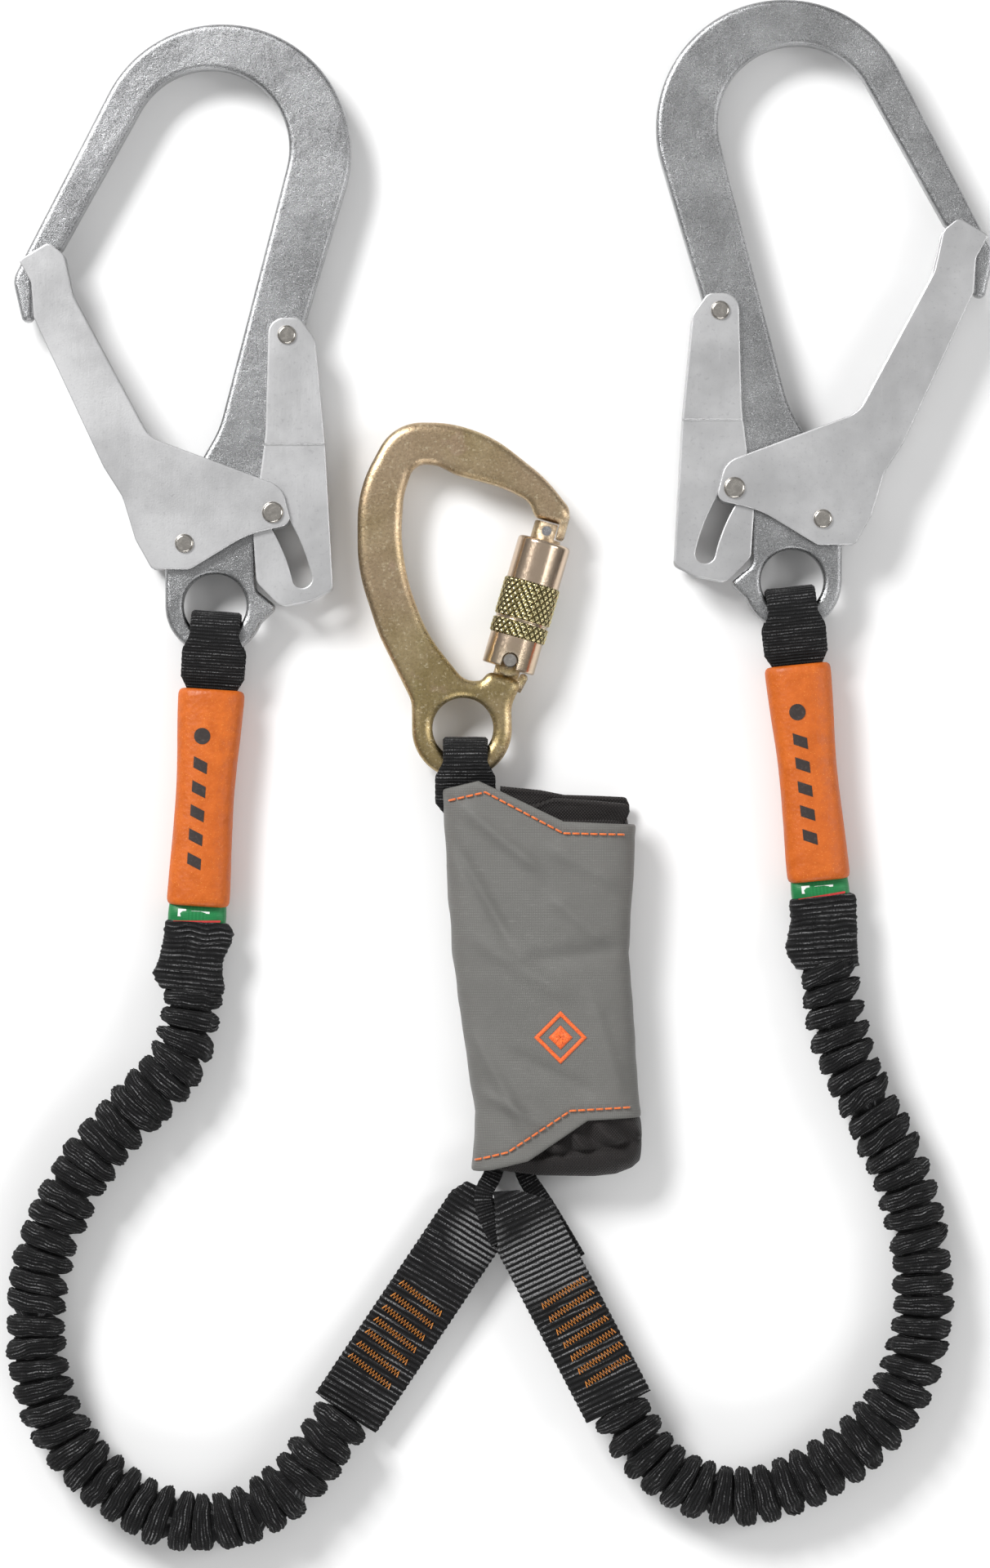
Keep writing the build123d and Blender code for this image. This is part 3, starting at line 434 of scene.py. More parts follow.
def smooth_piece(name, points, faces, material, slot, weave=None, replaces=(), body=ROOT):
    """A piece of points in metres. weave gives each point's weave coordinates in millimetres."""
    mesh = bpy.data.meshes.new(name)
    mesh.from_pydata([tuple(p) for p in points], [], faces)
    mesh.materials.append(material)
    mesh.shade_smooth()
    if weave is not None:
        layer = mesh.uv_layers.new(name="weave")
        corners = np.zeros(len(mesh.loops), np.int32)
        mesh.loops.foreach_get("vertex_index", corners)
        layer.data.foreach_set("uv", np.array(weave, np.float32)[corners].ravel())
    mesh.validate()
    return add_piece(name, mesh, slot, replaces, body)


def ring_faces(rings, around, closed=False):
    """Quads between rings with the same number of points each, joined end to end or capped."""
    faces = []
    for i in range(rings if closed else rings - 1):
        for j in range(around):
            a, b = i * around + j, i * around + (j + 1) % around
            c = ((i + 1) % rings) * around
            faces.append((a, b, c + (j + 1) % around, c + j))
    if not closed:
        faces.append(tuple(reversed(range(around))))
        faces.append(tuple(range((rings - 1) * around, rings * around)))
    return faces


def tube(name, points, around, material, slot, weave, replaces=(), body=ROOT, closed=False):
    """A piece of rings with around points each."""
    faces = ring_faces(len(points) // around, around, closed)
    return smooth_piece(name, points, faces, material, slot, weave, replaces, body)


SELVEDGE = 0.16             # how far the knobs of a webbing's edge stand out
SELVEDGE_PITCH = 2.4
STRAP_COLUMNS = [-1, -0.97, -0.9, -0.7, -0.45, -0.2, 0.0, 0.2, 0.45, 0.7, 0.9, 0.97, 1]
STRAP_STEP = 0.8


def strap(name, path, width, thickness, replaces, ripple, seed, across=None):
    """A closed strip of webbing along a path in metres. width is a function of the distance in mm."""
    line, at = even_line(path, STRAP_STEP * MM)
    tangent = unit(np.gradient(line, axis=0))
    side = unit(np.cross(tangent, (0, 0, 1)) if across is None else np.full_like(tangent, tuple(across)))
    up = np.cross(side, tangent)
    section = [(x, 1) for x in STRAP_COLUMNS] + [(x, -1) for x in reversed(STRAP_COLUMNS)]
    points, weave = [], []
    for p, s, u, distance in zip(line, side, up, at / MM):
        wide = width(distance) + SELVEDGE * sin(distance * 2 * pi / SELVEDGE_PITCH)
        for x, face in section:
            edge = 1 - max(0.0, abs(x) - 0.9) / 0.1 * 0.75
            high = face * thickness / 2 * edge + ripple * wobble(x * 1.4 + seed, distance * 0.09, seed * 3.1)
            points.append(p + s * (x * wide / 2 * MM) + u * (high * MM))
            weave.append((x * wide / 2, distance))
    tube(name, points, len(section), BLACK, "black_webbing", weave, replaces)


def plates(name, outlines, surface, material, slot, lift, thick):
    """Thin plates cut to flat outlines in mm and laid on a surface given as a function of (x, y, lift)."""
    shell = bmesh.new()
    for outline in outlines:
        low = [shell.verts.new(surface(x, y, lift - thick)) for x, y in outline]
        high = [shell.verts.new(surface(x, y, lift)) for x, y in outline]
        shell.faces.new(high)
        shell.faces.new(low[::-1])
        for i, j in zip(range(len(outline)), [*range(1, len(outline)), 0]):
            shell.faces.new((high[i], low[i], low[j], high[j]))
    mesh = bpy.data.meshes.new(name)
    shell.to_mesh(mesh)
    shell.free()
    mesh.materials.append(material)
    add_piece(name, mesh, slot)


def threads(name, lines, radius, material, slot, replaces=()):
    """Round threads along several lines of points in metres."""
    sides = 6
    points, faces = [], []
    for line in lines:
        line = np.array([tuple(p) for p in line], float)
        tangent = unit(np.gradient(line, axis=0))
        side = unit(np.cross(tangent, (0.0, 0.03, 1.0)))
        up = np.cross(side, tangent)
        faces += [tuple(len(points) + i for i in face) for face in ring_faces(len(line), sides)]
        for p, s, u in zip(line, side, up):
            points += [p + (s * cos(a) + u * sin(a)) * radius * MM for a in turns(sides)]
    smooth_piece(name, points, faces, material, slot, None, replaces)


# -------- elastic legs
LEG_D = 25.0
LEG_ROUTES = {
    "left": [
        (-118.41, -78.77), (-119.28, -92.24), (-123.0, -107.5), (-136.5, -122.5), (-155.0, -141.0),
        (-169.0, -162.6), (-178.6, -187.2), (-181.1, -212.8), (-177.9, -238.4), (-166.7, -260.8),
        (-149.1, -277.8), (-128.5, -288.6), (-106.5, -290.5), (-86.0, -281.5), (-70.21, -264.49),
        (-58.53, -247.04),
    ],
    "right": [
        (130.10, -68.75), (131.41, -81.68), (134.0, -97.0), (140.0, -114.5), (149.5, -132.5),
        (159.0, -152.0), (165.3, -174.0), (168.0, -197.0), (166.0, -220.5), (157.5, -242.5),
        (142.0, -259.5), (123.5, -271.5), (103.5, -279.0), (84.0, -278.5), (67.5, -270.0),
        (55.95, -257.71), (48.52, -243.54),
    ],
}
FOLD_PITCH = 8.7
VALLEY_R = 6.9              # the leg's radius between two folds
AROUND = 84
WEBBING_ROUND = 78.0        # weave coordinates run this far round the leg


def route_points(route):
    """Points read from the NURBS curve of a route."""
    curve = bpy.data.curves.new("route", "CURVE")
    curve.dimensions = "3D"
    curve.resolution_u = 12
    spline = curve.splines.new("NURBS")
    spline.points.add(len(route) - 1)
    for point, (x, y) in zip(spline.points, route):
        point.co = (*place(x, y), 1.0)
    spline.order_u = 3
    spline.use_endpoint_u = True
    holder = add("route", curve)
    mesh = bpy.data.meshes.new_from_object(holder)
    points = [v.co.copy() for v in mesh.vertices]
    bpy.data.objects.remove(holder)
    bpy.data.curves.remove(curve)
    bpy.data.meshes.remove(mesh)
    return points


def fold_profile(pitch):
    """One fold from valley to valley: (distance from the crest, radius, crest weight)."""
    half = pitch / 2 - 0.75
    centre = LEG_D / 2 - half
    shoulder = max(VALLEY_R + 1.5, centre - 1.0)
    profile = [(-pitch / 2, VALLEY_R, 0.0), (-pitch / 2 + 0.25, VALLEY_R + 1.4, 0.0), (-half, shoulder, 0.1)]
    for k in range(19):
        angle = pi * k / 18
        profile.append((-half * cos(angle), centre + half * sin(angle) ** 0.9, sin(angle)))
    return profile + [(half, shoulder, 0.1), (pitch / 2 - 0.25, VALLEY_R + 1.4, 0.0)]


def leg_fold(rng, seed, fold, folds, first_tilt):
    """One fold's own lean, dent and creases, as a function that shapes its points."""
    tilt = first_tilt * exp(-3.5 * (fold + 0.5) / folds)
    tilt += 0.28 * wobble(fold * 0.21, seed * 1.7, 0.0) + rng.gauss(0, 0.06)
    pitching = 0.18 * wobble(fold * 0.25, seed * 2.9, 4.0)
    size = 1.0 + 0.045 * wobble(fold * 0.9, seed * 0.7, 8.0) + rng.uniform(-0.015, 0.02)
    size *= 0.93 + 0.07 * min(1.0, (fold + 1.5) / 3.0, (folds - fold + 0.5) / 2.5)
    lean = 1.6 * wobble(fold * 0.17, seed * 5.1, 2.0) + 0.5
    dent = pi * (0.97 + 0.25 * wobble(fold * 0.3, seed * 3.3, 6.0))
    crease_at = 2.2 * pi * rng.random()
    crease = rng.uniform(0.2, 1.0)
    slide = rng.gauss(0, 0.7)
    bend = 1.3 * wobble(fold * 0.4, seed * 1.3, 11.0)

    def shaped(index, along, radius, crest, angle):
        """A profile point's distance from the centre line, and its distance along from the crest."""
        c, s = cos(angle), sin(angle)
        reach = (radius - VALLEY_R) / (LEG_D / 2 - VALLEY_R)
        knot = bell(remainder(angle - dent, 2 * pi), 0.34)
        knot += 0.6 * bell(remainder(angle - dent + 2.4, 2 * pi), 0.3)
        rough = wobble((c * 1.3 + fold * 3.7) * 1.6, s * 1.3 * 1.6, (seed + index * 0.04) * 1.6)
        fine = wobble(c * 3.4, s * 3.4, fold * 5.1 + index * 0.33)
        r = VALLEY_R + (radius - VALLEY_R) * size
        r -= reach * (1.9 * knot * (0.35 + 0.65 * crest) + 0.35 * rough)
        r -= crease * 1.5 * crest ** 6 * (0.5 + 0.5 * sin(2 * angle + crease_at))
        r += 0.3 * crest * sin(index * 1.9 + 1.2 * fine + 2 * rough) + 0.3 * reach * fine
        r *= (abs(c) ** 2.2 + abs(s) ** 2.2) ** (-1 / 2.2)
        shift = along * (1.0 - 0.2 * reach * abs(c) ** 3) + slide * 0.6
        shift += reach * (lean * (0.55 + 0.45 * s) + 0.9 * rough + 1.3 * knot * c)
        shift += bend * reach * c * (1.0 - 0.6 * s)
        shift += r * reach * (c * tan(tilt) + s * tan(pitching))
        return r, shift

    return shaped


def leg(side, seed, first_tilt):
    """An elastic leg: a webbing tube gathered into folds, each a little different."""
    rng = random.Random(seed)
    centre, at = even_line(route_points(LEG_ROUTES[side]), 0.5 * MM)
    tangent = unit(np.gradient(centre, axis=0))
    length = at[-1] / MM
    folds = round(length / FOLD_PITCH)
    pitch = length / folds
    profile = fold_profile(pitch)
    points, weave = [], []
    travelled = 0.0
    for fold in range(folds):
        shaped = leg_fold(rng, seed, fold, folds, first_tilt)
        for index, (along, radius, crest) in enumerate(profile):
            if index:
                travelled += dist((along, radius), profile[index - 1][:2])
            for angle in turns(AROUND):
                r, shift = shaped(index, along, radius, crest, angle)
                where = min(max(((fold + 0.5) * pitch + shift) / length, 0.0), 1.0) * (len(centre) - 1)
                i = min(int(where), len(centre) - 2)
                across = np.array((-tangent[i][1], tangent[i][0], 0.0))
                point = centre[i] * (1 - (where - i)) + centre[i + 1] * (where - i)
                point += across * (r * cos(angle) * MM)
                point[2] = max(point[2] + r * sin(angle) * MM, 0.0004)
                points.append(point)
                weave.append((angle / (2 * pi) * WEBBING_ROUND, travelled))
    piece = tube(f"{side}_leg", points, AROUND, LEG, "leg_webbing", weave,
                 [f"{side}_leg_sleeve", f"{side}_leg_core"])


leg("left", 3, -0.05)
leg("right", 7, -0.42)


# -------- strap ends: loops, grips, labels, cuffs
STRAP_PLACES = {"left": (-109.6, 57.5, -3.7), "right": (116.3, 67.1, 5.8)}
GRIP_TOP = 20.5
GRIP_LENGTH = 85.0
GRIP_END = GRIP_TOP + GRIP_LENGTH
GRIP_T = 17.0
GRIP_WIDTHS = (26.0, 22.8, 24.6)        # at its top, middle and lower end
GRIP_POWER = 2.6                        # of its section's superellipse


def in_strap(side):
    """A function from a strap's own (x, y, z) in mm to the frame. Its y falls below 0 along the strap."""
    x0, y0, lean = STRAP_PLACES[side]
    c, s = cos(radians(lean)), sin(radians(lean))
    return lambda x, y, z=0.0: place(x0 + x * c - y * s, y0 + x * s + y * c, MID + z)


def loop_piece(name, to_frame, radius, neck, end, widths, thickness, replaces, seed):
    """Webbing round a bar at the origin, whose plies meet at the neck and run down to the end.

    The widths are those at the bar, beside it and below the neck.
    """
    tail = thickness / 2 + 0.3
    wrap = pi - atan2(tail, neck) - acos(radius / hypot(neck, tail))
    points = [(-end, tail), (-neck - 6, tail), (-neck, tail + 0.15)]
    for k in range(41):
        angle = wrap - 2 * wrap * k / 40
        points.append((radius * cos(angle), radius * sin(angle)))
    points += [(-neck, -tail - 0.15), (-neck - 6, -tail), (-end, -tail)]
    path = [to_frame(0, y, z) for y, z in points]
    middle = even_line(path, MM)[1][-1] / MM / 2
    front = pi / 2 * radius
    mouth = middle - (end - neck)
    places = [front, front + 6, mouth - 5, mouth + 2]
    at_bar, wide, low = widths

    def width(distance):
        return float(np.interp(abs(distance - middle), places, [at_bar, wide, wide, low]))

    across = to_frame(1, 0) - to_frame(0, 0)
    strap(name, path, width, thickness, [replaces], 0.25, seed, across.normalized())


def grip_width(share):
    """The grip's width down its length."""
    top, middle, low = GRIP_WIDTHS
    start, stop, t = (top, middle, share / 0.5) if share < 0.5 else (middle, low, (share - 0.5) / 0.5)
    return start + (stop - start) * t * t * (3 - 2 * t)


def grip_piece(side, to_frame, seed):
    """The moulded grip: a waisted sleeve with rounded rims and a slot through it for the webbing."""
    around = 64
    # How far the outside draws in near each end.
    rim = [(0.35, 3.3), (0.0, 2.2), (0.25, 1.2), (0.9, 0.45), (2.0, 0.08), (3.4, 0.0)]
    stations = rim + [(4 + k * 2.2, 0.0) for k in range(35) if 4 + k * 2.2 < GRIP_LENGTH - 3.6]
    stations += [(GRIP_LENGTH - down, inset) for down, inset in reversed(rim)]
    points, weave = [], []
    for down, inset in stations:
        half = grip_width(min(max(down / GRIP_LENGTH, 0), 1)) / 2 - inset
        for angle in turns(around):
            c, s = squared(angle, 2 / GRIP_POWER, 2 / GRIP_POWER)
            x, z = half * c, (GRIP_T / 2 - inset * 0.8) * s
            soft = 0.28 * wobble(x * 0.16 + seed, down * 0.07, z * 0.2)
            points.append(to_frame(x * (1 + soft * 0.03), -GRIP_TOP - down, z * (1 + soft * 0.05)))
            weave.append((angle * 12, GRIP_TOP + down))
    for down in (GRIP_END - 0.9, GRIP_TOP + 0.9):
        for angle in turns(around):
            c, s = squared(angle, 0.45, 0.45)
            points.append(to_frame(9.3 * c, -down, 2.8 * s))
            weave.append((angle * 12, down))
    tube(f"{side}_grip_sleeve", points, around, ORANGE, "orange_grip", weave, [f"{side}_grip"], closed=True)


def grip_marks(side, to_frame):
    """A plain dot and slanted bars down the grip's middle."""
    def surface(x, down, lift):
        share = abs(x / (grip_width(down / GRIP_LENGTH) / 2))
        height = GRIP_T / 2 * max(0.0, 1 - share ** GRIP_POWER) ** (1 / GRIP_POWER)
        return to_frame(x, -GRIP_TOP - down, height + lift)

    x0, dot, width, length, slant, steps = -2.2, 3.2, 5.4, 4.4, 2.4, 8
    outlines = [[(x0 + dot * cos(a), 18.5 + dot * sin(a)) for a in turns(24)]]
    for k in range(5):
        left, top = x0 - width / 2, 26.5 + 9.4 * k
        upper = [(left + width * i / steps, top + slant * i / steps) for i in range(steps + 1)]
        outlines.append(upper + [(x, down + length) for x, down in reversed(upper)])
    plates(f"{side}_grip_print", outlines, surface, INK, "orange_grip", 0.16, 0.4)


def label_piece(side, to_frame):
    """The printed band between the grip and the cuff, with plain marks."""
    around, rows = 48, 12
    half_w, half_t = 11.1, 4.3
    points, weave = [], []
    for k in range(rows + 1):
        down = GRIP_END - 1.0 + 10.0 * k / rows
        swell = 0.9 * sin(pi * k / rows)
        for angle in turns(around):
            c, s = squared(angle, 0.55, 0.7)
            x, z = (half_w + swell * 0.4) * c, (half_t + swell) * s
            points.append(to_frame(x, -down, z + 0.35 * wobble(x * 0.3, down * 0.4, 5.0)))
            weave.append((angle * 10, down))
    tube(f"{side}_fall_band", points, around, GREEN, "label_green", weave, [f"{side}_fall_label"])

    def surface(x, down, lift):
        return to_frame(x, -(GRIP_END + down), 4.95 + lift)

    def box(x0, y0, x1, y1):
        return [(x0, y0), (x1, y0), (x1, y1), (x0, y1)]

    bars = [box(-7.4, 1.4, -4.2, 4.4), box(-2.2, 1.9, 5.0, 2.7), box(-2.2, 3.6, 3.2, 4.4)]
    plates(f"{side}_fall_marks", bars, surface, WHITE_INK, "label_green", 0.1, 0.6)
    line = [(-9, 6.2), (9.4, 5.0), (9.4, 5.8), (-9, 7.0)]
    plates(f"{side}_fall_line", [line], surface, RED_INK, "label_green", 0.1, 0.8)


# Each cuff's left and right edge at distances down the strap.
CUFF_EDGES = {
    "left": [(111.0, -11.8, 11.4), (114.5, -12.2, 14.3), (119.0, -12.4, 13.9), (125.0, -13.2, 11.2),
             (129.0, -14.2, 10.9), (133.0, -15.8, 11.6), (136.0, -14.6, 12.3), (139.2, -12.0, 12.0)],
    "right": [(111.0, -11.6, 12.2), (114.5, -12.4, 13.6), (120.0, -12.3, 13.0), (126.0, -14.2, 12.7),
              (130.5, -15.7, 12.2), (134.0, -15.0, 12.0), (139.2, -12.3, 11.9)],
}
LOOP_END = 126.5            # where the hook loops end, inside the cuffs


def cuff_piece(side, to_frame, seed):
    """The leg's end, gathered flat and sewn round the webbing, with a rolled hem and a lap on the left."""
    around, count = 96, 60
    edges = CUFF_EDGES[side]
    points, weave = [], []
    for k in range(count):
        share = k / (count - 1)
        down = edges[0][0] + (edges[-1][0] - edges[0][0]) * share
        left, right = lookup(down, edges, 1), lookup(down, edges, 2)
        tuck, hem = bell(share, 0.025), bell(share - 0.06, 0.045)
        half_w = (right - left) / 2 + 0.3 * hem - 1.0 * tuck
        half_t = 5.3 + 0.9 * hem + 3.2 * max(0.0, share - 0.55) ** 1.4 - 1.7 * tuck
        for angle in turns(around):
            c, s = cos(angle), sin(angle)
            x, z = squared(angle, 0.62, 0.6)
            x, z = half_w * x, half_t * z
            fold = wobble(x * 0.12 + seed, down * 0.34, seed * 2.0)
            wavy = wobble(x * 0.16, down * 0.12, seed * 5.0)
            rib = sin((down + 1.5 * wavy) * 2 * pi / 2.5 + 0.25 * x) * (share > 0.1)
            lap_edge = -6.0 + 5.0 * share + 1.2 * wavy
            lap = 1.3 / (1.0 + exp((x - lap_edge) * 2.5)) * (share > 0.05) * (s > 0)
            z += copysign(0.3 * rib + 1.1 * fold * share + lap, s) * min(1, abs(s) * 3)
            x += copysign(0.7 * fold + 0.3 * rib, c) * min(1, abs(c) * 2) * (share > 0.03)
            points.append(to_frame((left + right) / 2 + x, -down - 1.2 * wavy * share - 0.04 * x * share, z))
            weave.append((angle * 11.5, down * 1.1 + 1.2 * wavy))
    tube(f"{side}_cuff_folds", points, around, BLACK_END, "leg_webbing", weave, [f"{side}_cuff"])


for side, seed in (("left", 1), ("right", 2)):
    to_frame = in_strap(side)
    loop_piece(f"{side}_loop_webbing", to_frame, 9.1, GRIP_TOP, LOOP_END, (19.4, 24.6, 17.6), 2.2,
               f"{side}_hook_loop", seed)
    grip_piece(side, to_frame, seed)
    grip_marks(side, to_frame)
    label_piece(side, to_frame)
    cuff_piece(side, to_frame, seed)


# -------- absorber pack
# The pack's left and right side at heights from its lower end to its top.
PACK_SIDES = [
    (-160.0, -9.4, 57.4), (-128.0, -7.6, 56.8), (-100.0, -12.2, 54.8), (-66.0, -16.6, 52.4),
    (-30.0, -19.2, 54.6), (6.0, -20.6, 55.2),
]
PACK_T = 28.0
PACK_HALF_W = 37.4
SECTION_POWER = 3.6
SECTION_STEPS = 80000
# Creases of the cover: from, to, width and height.
WRINKLES = [
    ((-14, -8), (18, -34), 7.0, 0.9), ((-16, -22), (6, -62), 6.0, -0.9), ((20, -24), (50, -40), 8.0, 0.6),
    ((-8, -60), (30, -84), 9.0, 0.7), ((10, -70), (52, -64), 9.0, -0.7), ((-10, -96), (14, -138), 7.0, 0.9),
    ((4, -104), (40, -122), 8.0, -0.7), ((38, -84), (50, -122), 7.0, 0.6),
    ((-6, -120), (22, -134), 5.0, 0.7), ((22, -44), (44, -62), 7.0, 0.6),
]
WRINKLE_GAIN = 2.3
TOP_EDGE = [(-22, -3.0), (-19.5, -2.6), (-4.5, 1.2), (26.5, -14.6), (56, -16.0)]
LOW_EDGE = [(-14, -151.0), (-9.5, -150.6), (5.5, -147.0), (30.5, -131.2), (58, -129.8)]
TOP_STITCHES = [(-18.6, -6.6), (-3.8, -3.2), (26.6, -19.2), (53.2, -19.8)]
LOW_STITCHES = [(-8.4, -146.8), (5.0, -143.4), (29.4, -127.2), (54.6, -125.9)]


def pack_sides(y):
    return lookup(y, PACK_SIDES, 1), lookup(y, PACK_SIDES, 2)


def wrinkle(x, y):
    """Height of the cover's soft creases at a layout point."""
    total = 0.45 * wobble(x * 0.06, y * 0.06, 1.0) + 0.1 * wobble(x * 0.2, y * 0.2, 3)
    for (x0, y0), (x1, y1), width, height in WRINKLES:
        dx, dy = x1 - x0, y1 - y0
        long = hypot(dx, dy)
        t = ((x - x0) * dx + (y - y0) * dy) / long ** 2
        off = ((x - x0) * dy - (y - y0) * dx) / long
        fade = bell(max(0.0, abs(t - 0.5) - 0.3), 0.18)
        total += WRINKLE_GAIN * height * fade * bell(off * 2.4, width)
    return total


def even_section(count):
    """Points spaced evenly round the section, as shares of its half sizes, and its girth in mm."""
    power = 2 / SECTION_POWER
    half = np.array((PACK_HALF_W, PACK_T / 2))
    fine = np.array([squared(angle, power, power) for angle in turns(SECTION_STEPS)]) * half
    fine = np.concatenate([fine, fine[:1]])
    far = distances(fine)
    return points_at(fine, far, np.linspace(0, far[-1], count, endpoint=False)) / half, far[-1]


SECTION, PACK_GIRTH = even_section(220)


def pack_section(y, spot, grow):
    """A point of the pack's outside at a layout y, grown by a little."""
    left, right = pack_sides(y)
    x = (left + right) / 2 + spot[0] * ((right - left) / 2 + grow)
    return x, PACK_T / 2 + spot[1] * (PACK_T / 2 + grow)


def cloth_point(spot, y, grow):
    """A point of the cover, with its creases."""
    x, z = pack_section(y, spot, grow)
    flat = abs(spot[1]) ** 1.5
    z += wrinkle(x, y) * flat * (1.0 if spot[1] > 0 else -0.2)
    x += 0.5 * wobble(9.0 * copysign(1, spot[0]), y * 0.09, z * 0.1) * (1 - flat)
    return x, max(z, 0.05)


def cover_piece():
    """The cover: a sleeve of cloth round the pack, with folded hems at both ends."""
    rows = 143
    levels = [0.0, 0.004] + [0.012 + 0.976 * k / (rows + 1) for k in range(rows + 1)] + [0.988, 0.996, 1.0]
    points, weave = [], []
    for inside, order in ((False, levels), (True, reversed(levels))):
        for share in order:
            for j, spot in enumerate(SECTION):
                x0, _ = pack_section(-60, spot, 0)
                high, low = lookup(x0, TOP_EDGE), lookup(x0, LOW_EDGE)
                y = high + (low - high) * share
                hem = 0.275 * (bell(abs(y - high) - 1.6, 2.0) + bell(abs(y - low) - 1.6, 2.0))
                rolled = 0.5 * (share < 0.002 or share > 0.998)
                x, z = cloth_point(spot, y, -0.9 if inside else hem - rolled)
                points.append(place(x, y, z))
                weave.append((PACK_GIRTH * j / len(SECTION), -y))
    piece = tube("cover_cloth", points, len(SECTION), GREY, "cover_grey", weave, ["pack_cover"], closed=True)


def on_cover(x, y, lift):
    """The cover's upper face at a layout point."""
    left, right = pack_sides(y)
    share = (x - (left + right) / 2) / ((right - left) / 2)
    height = max(0.0, 1 - abs(share) ** SECTION_POWER) ** (1 / SECTION_POWER)
    return place(x, y, cloth_point((share, height), y, 0.0)[1] + lift)


def stitch_line(corners):
    """Short stitches along a line of layout points, each a small arch of thread."""
    start, stitch, gap = 0.6, 2.7, 0.8
    line = np.array(corners)
    far = distances(line)
    lines = []
    for at in np.arange(start, far[-1] - stitch, stitch + gap):
        spots = points_at(line, far, at + stitch * np.linspace(0, 1, 6))
        lines.append([on_cover(x, y, 0.52 + 0.28 * sin(pi * k / 5)) for k, (x, y) in enumerate(spots)])
    return lines


POUCH_TOP = -13.0
# The bag's lower edge and its seam line.
POUCH_LOW = [(-14, -146.0), (-6, -149.0), (2, -151.2), (17, -153.0), (38, -153.3), (46, -152.4),
             (52, -150.0), (58, -144.5)]
POUCH_SEAM = [(-10, -147.0), (8, -146.0), (40, -142.4), (57, -138.6)]
POUCH_INSET = 2.4


def pouch_piece():
    """The dark bag inside the cover: full, gathered at its lower end on to a piped seam."""
    points, weave = [], []
    rows = 149
    for k in range(rows + 1):
        share = k / rows
        close = 1 - 0.6 * exp(-k / 2.0) if share < 0.5 else 1 - 0.8 * exp(-(rows - k + 0.3) / 3.6)
        level = POUCH_TOP + (POUCH_LOW[4][1] - POUCH_TOP) * share
        middle = sum(pack_sides(level)) / 2
        for j, spot in enumerate(SECTION):
            x, z = pack_section(level, spot, -POUCH_INSET)
            y = POUCH_TOP + (lookup(x, POUCH_LOW) - POUCH_TOP) * share
            past_seam = y - lookup(x, POUCH_SEAM)
            bare = 1 / (1 + exp((y - lookup(x, LOW_EDGE)) / 1.2 - 1.0))
            gather = bell(past_seam, 5.0 if past_seam < 0 else 10.0)
            seam = bell(past_seam, 0.9)
            z = PACK_T / 2 + (z - PACK_T / 2) * (0.1 + 0.9 * close)
            x = middle + (x - middle) * (0.95 + 0.05 * close) + 3.0 * bare * max(0.0, (x - middle) / 33.0)
            twist = 1.8 * wobble(x * 0.07, y * 0.1, 1.0)
            fold = 3.0 * sin(x * 0.55 + 0.45 * past_seam + twist) * gather * (1 - seam) * (past_seam > 0)
            soft = wobble(x * 0.11, y * 0.13, 2.0 if z > PACK_T / 2 else 7.0)
            lift = (fold - 2.4 * seam + 1.6 * soft * (0.3 + gather)) * bare
            z += lift * copysign(1, z - PACK_T / 2) * close
            points.append(place(x, y, max(0.4, z)))
            weave.append((PACK_GIRTH * j / len(SECTION), -y))
    piece = tube("pouch_bag", points, len(SECTION), DARK, "pouch_dark", weave, ["pack_pouch"])


def mouth_ply(name, high, level, corner, hem):
    """A flat ply of the bag's mouth under an upper edge in layout mm, with a rolled hem along it."""
    columns, rows, foot = 60, 26, -34.0
    left, right = high[0][0], high[-1][0]
    points, weave = [], []
    for face in (1, -1):
        for i in range(rows + 1):
            for k in range(columns + 1):
                x = left + (right - left) * k / columns
                top = lookup(x, high)
                if right - x < corner:
                    top -= corner - sqrt(max(0.0, corner ** 2 - (corner - (right - x)) ** 2))
                y = top + (foot - top) * (i / rows) ** 1.5
                inside = min(1.0, max(0.0, (-y - 10.0) / 8.0))
                half = 0.55 + hem * bell(top - y - 1.1, 1.0)
                half *= min(1.0, 0.3 + (top - y) / 0.8) * min(1.0, 0.35 + min(x - left, right - x) / 0.8)
                bow = 1.1 * wobble(x * 0.05, y * 0.06, level) + 0.35 * wobble(x * 0.17, y * 0.2, level)
                z = level + bow + face * half - 1.5 * inside * copysign(1, level - MID)
                points.append(place(x - (x - (left + right) / 2) * 0.16 * inside, y, z))
                weave.append((x, -y))
    wide = columns + 1
    size = (rows + 1) * wide
    faces = []
    for i in range(rows):
        for a in range(i * wide, i * wide + columns):
            faces.append((a, a + wide, a + wide + 1, a + 1))
            faces.append((size + a, size + a + 1, size + a + wide + 1, size + a + wide))
    rim = [*range(wide)] + [i * wide + columns for i in range(1, rows + 1)]
    rim += [rows * wide + k for k in reversed(range(columns))] + [i * wide for i in reversed(range(1, rows))]
    faces += [(a, b, b + size, a + size) for a, b in zip(rim, rim[1:] + rim[:1])]
    smooth_piece(name, points, faces, DARK, "pouch_dark", weave)


# The bag's mouth above the cover at the right: its plies' upper edges, heights, corner radii and hems.
MOUTH_PLIES = {
    "mouth_upper": ([(2.0, -0.8), (18.0, -2.4), (27.0, -4.2), (40.0, -4.6), (52.2, -5.155)], 17.8, 2.2, 0.5),
    "mouth_front": ([(9.0, -9.0), (16.5, -7.6), (23.0, -5.4), (38.0, -6.4), (53.0, -7.8)], 21.6, 3.0, 0.7),
    "mouth_lower": ([(4.0, -2.6), (28.0, -5.2), (52.8, -6.0)], 5.5, 2.2, 0.5),
}
pouch_piece()
cover_piece()
stitches = stitch_line(TOP_STITCHES) + stitch_line(LOW_STITCHES)
threads("cover_stitches", stitches, 0.42, ORANGE_THREAD, "tack_thread")
for name, ply in MOUTH_PLIES.items():
    mouth_ply(name, *ply)


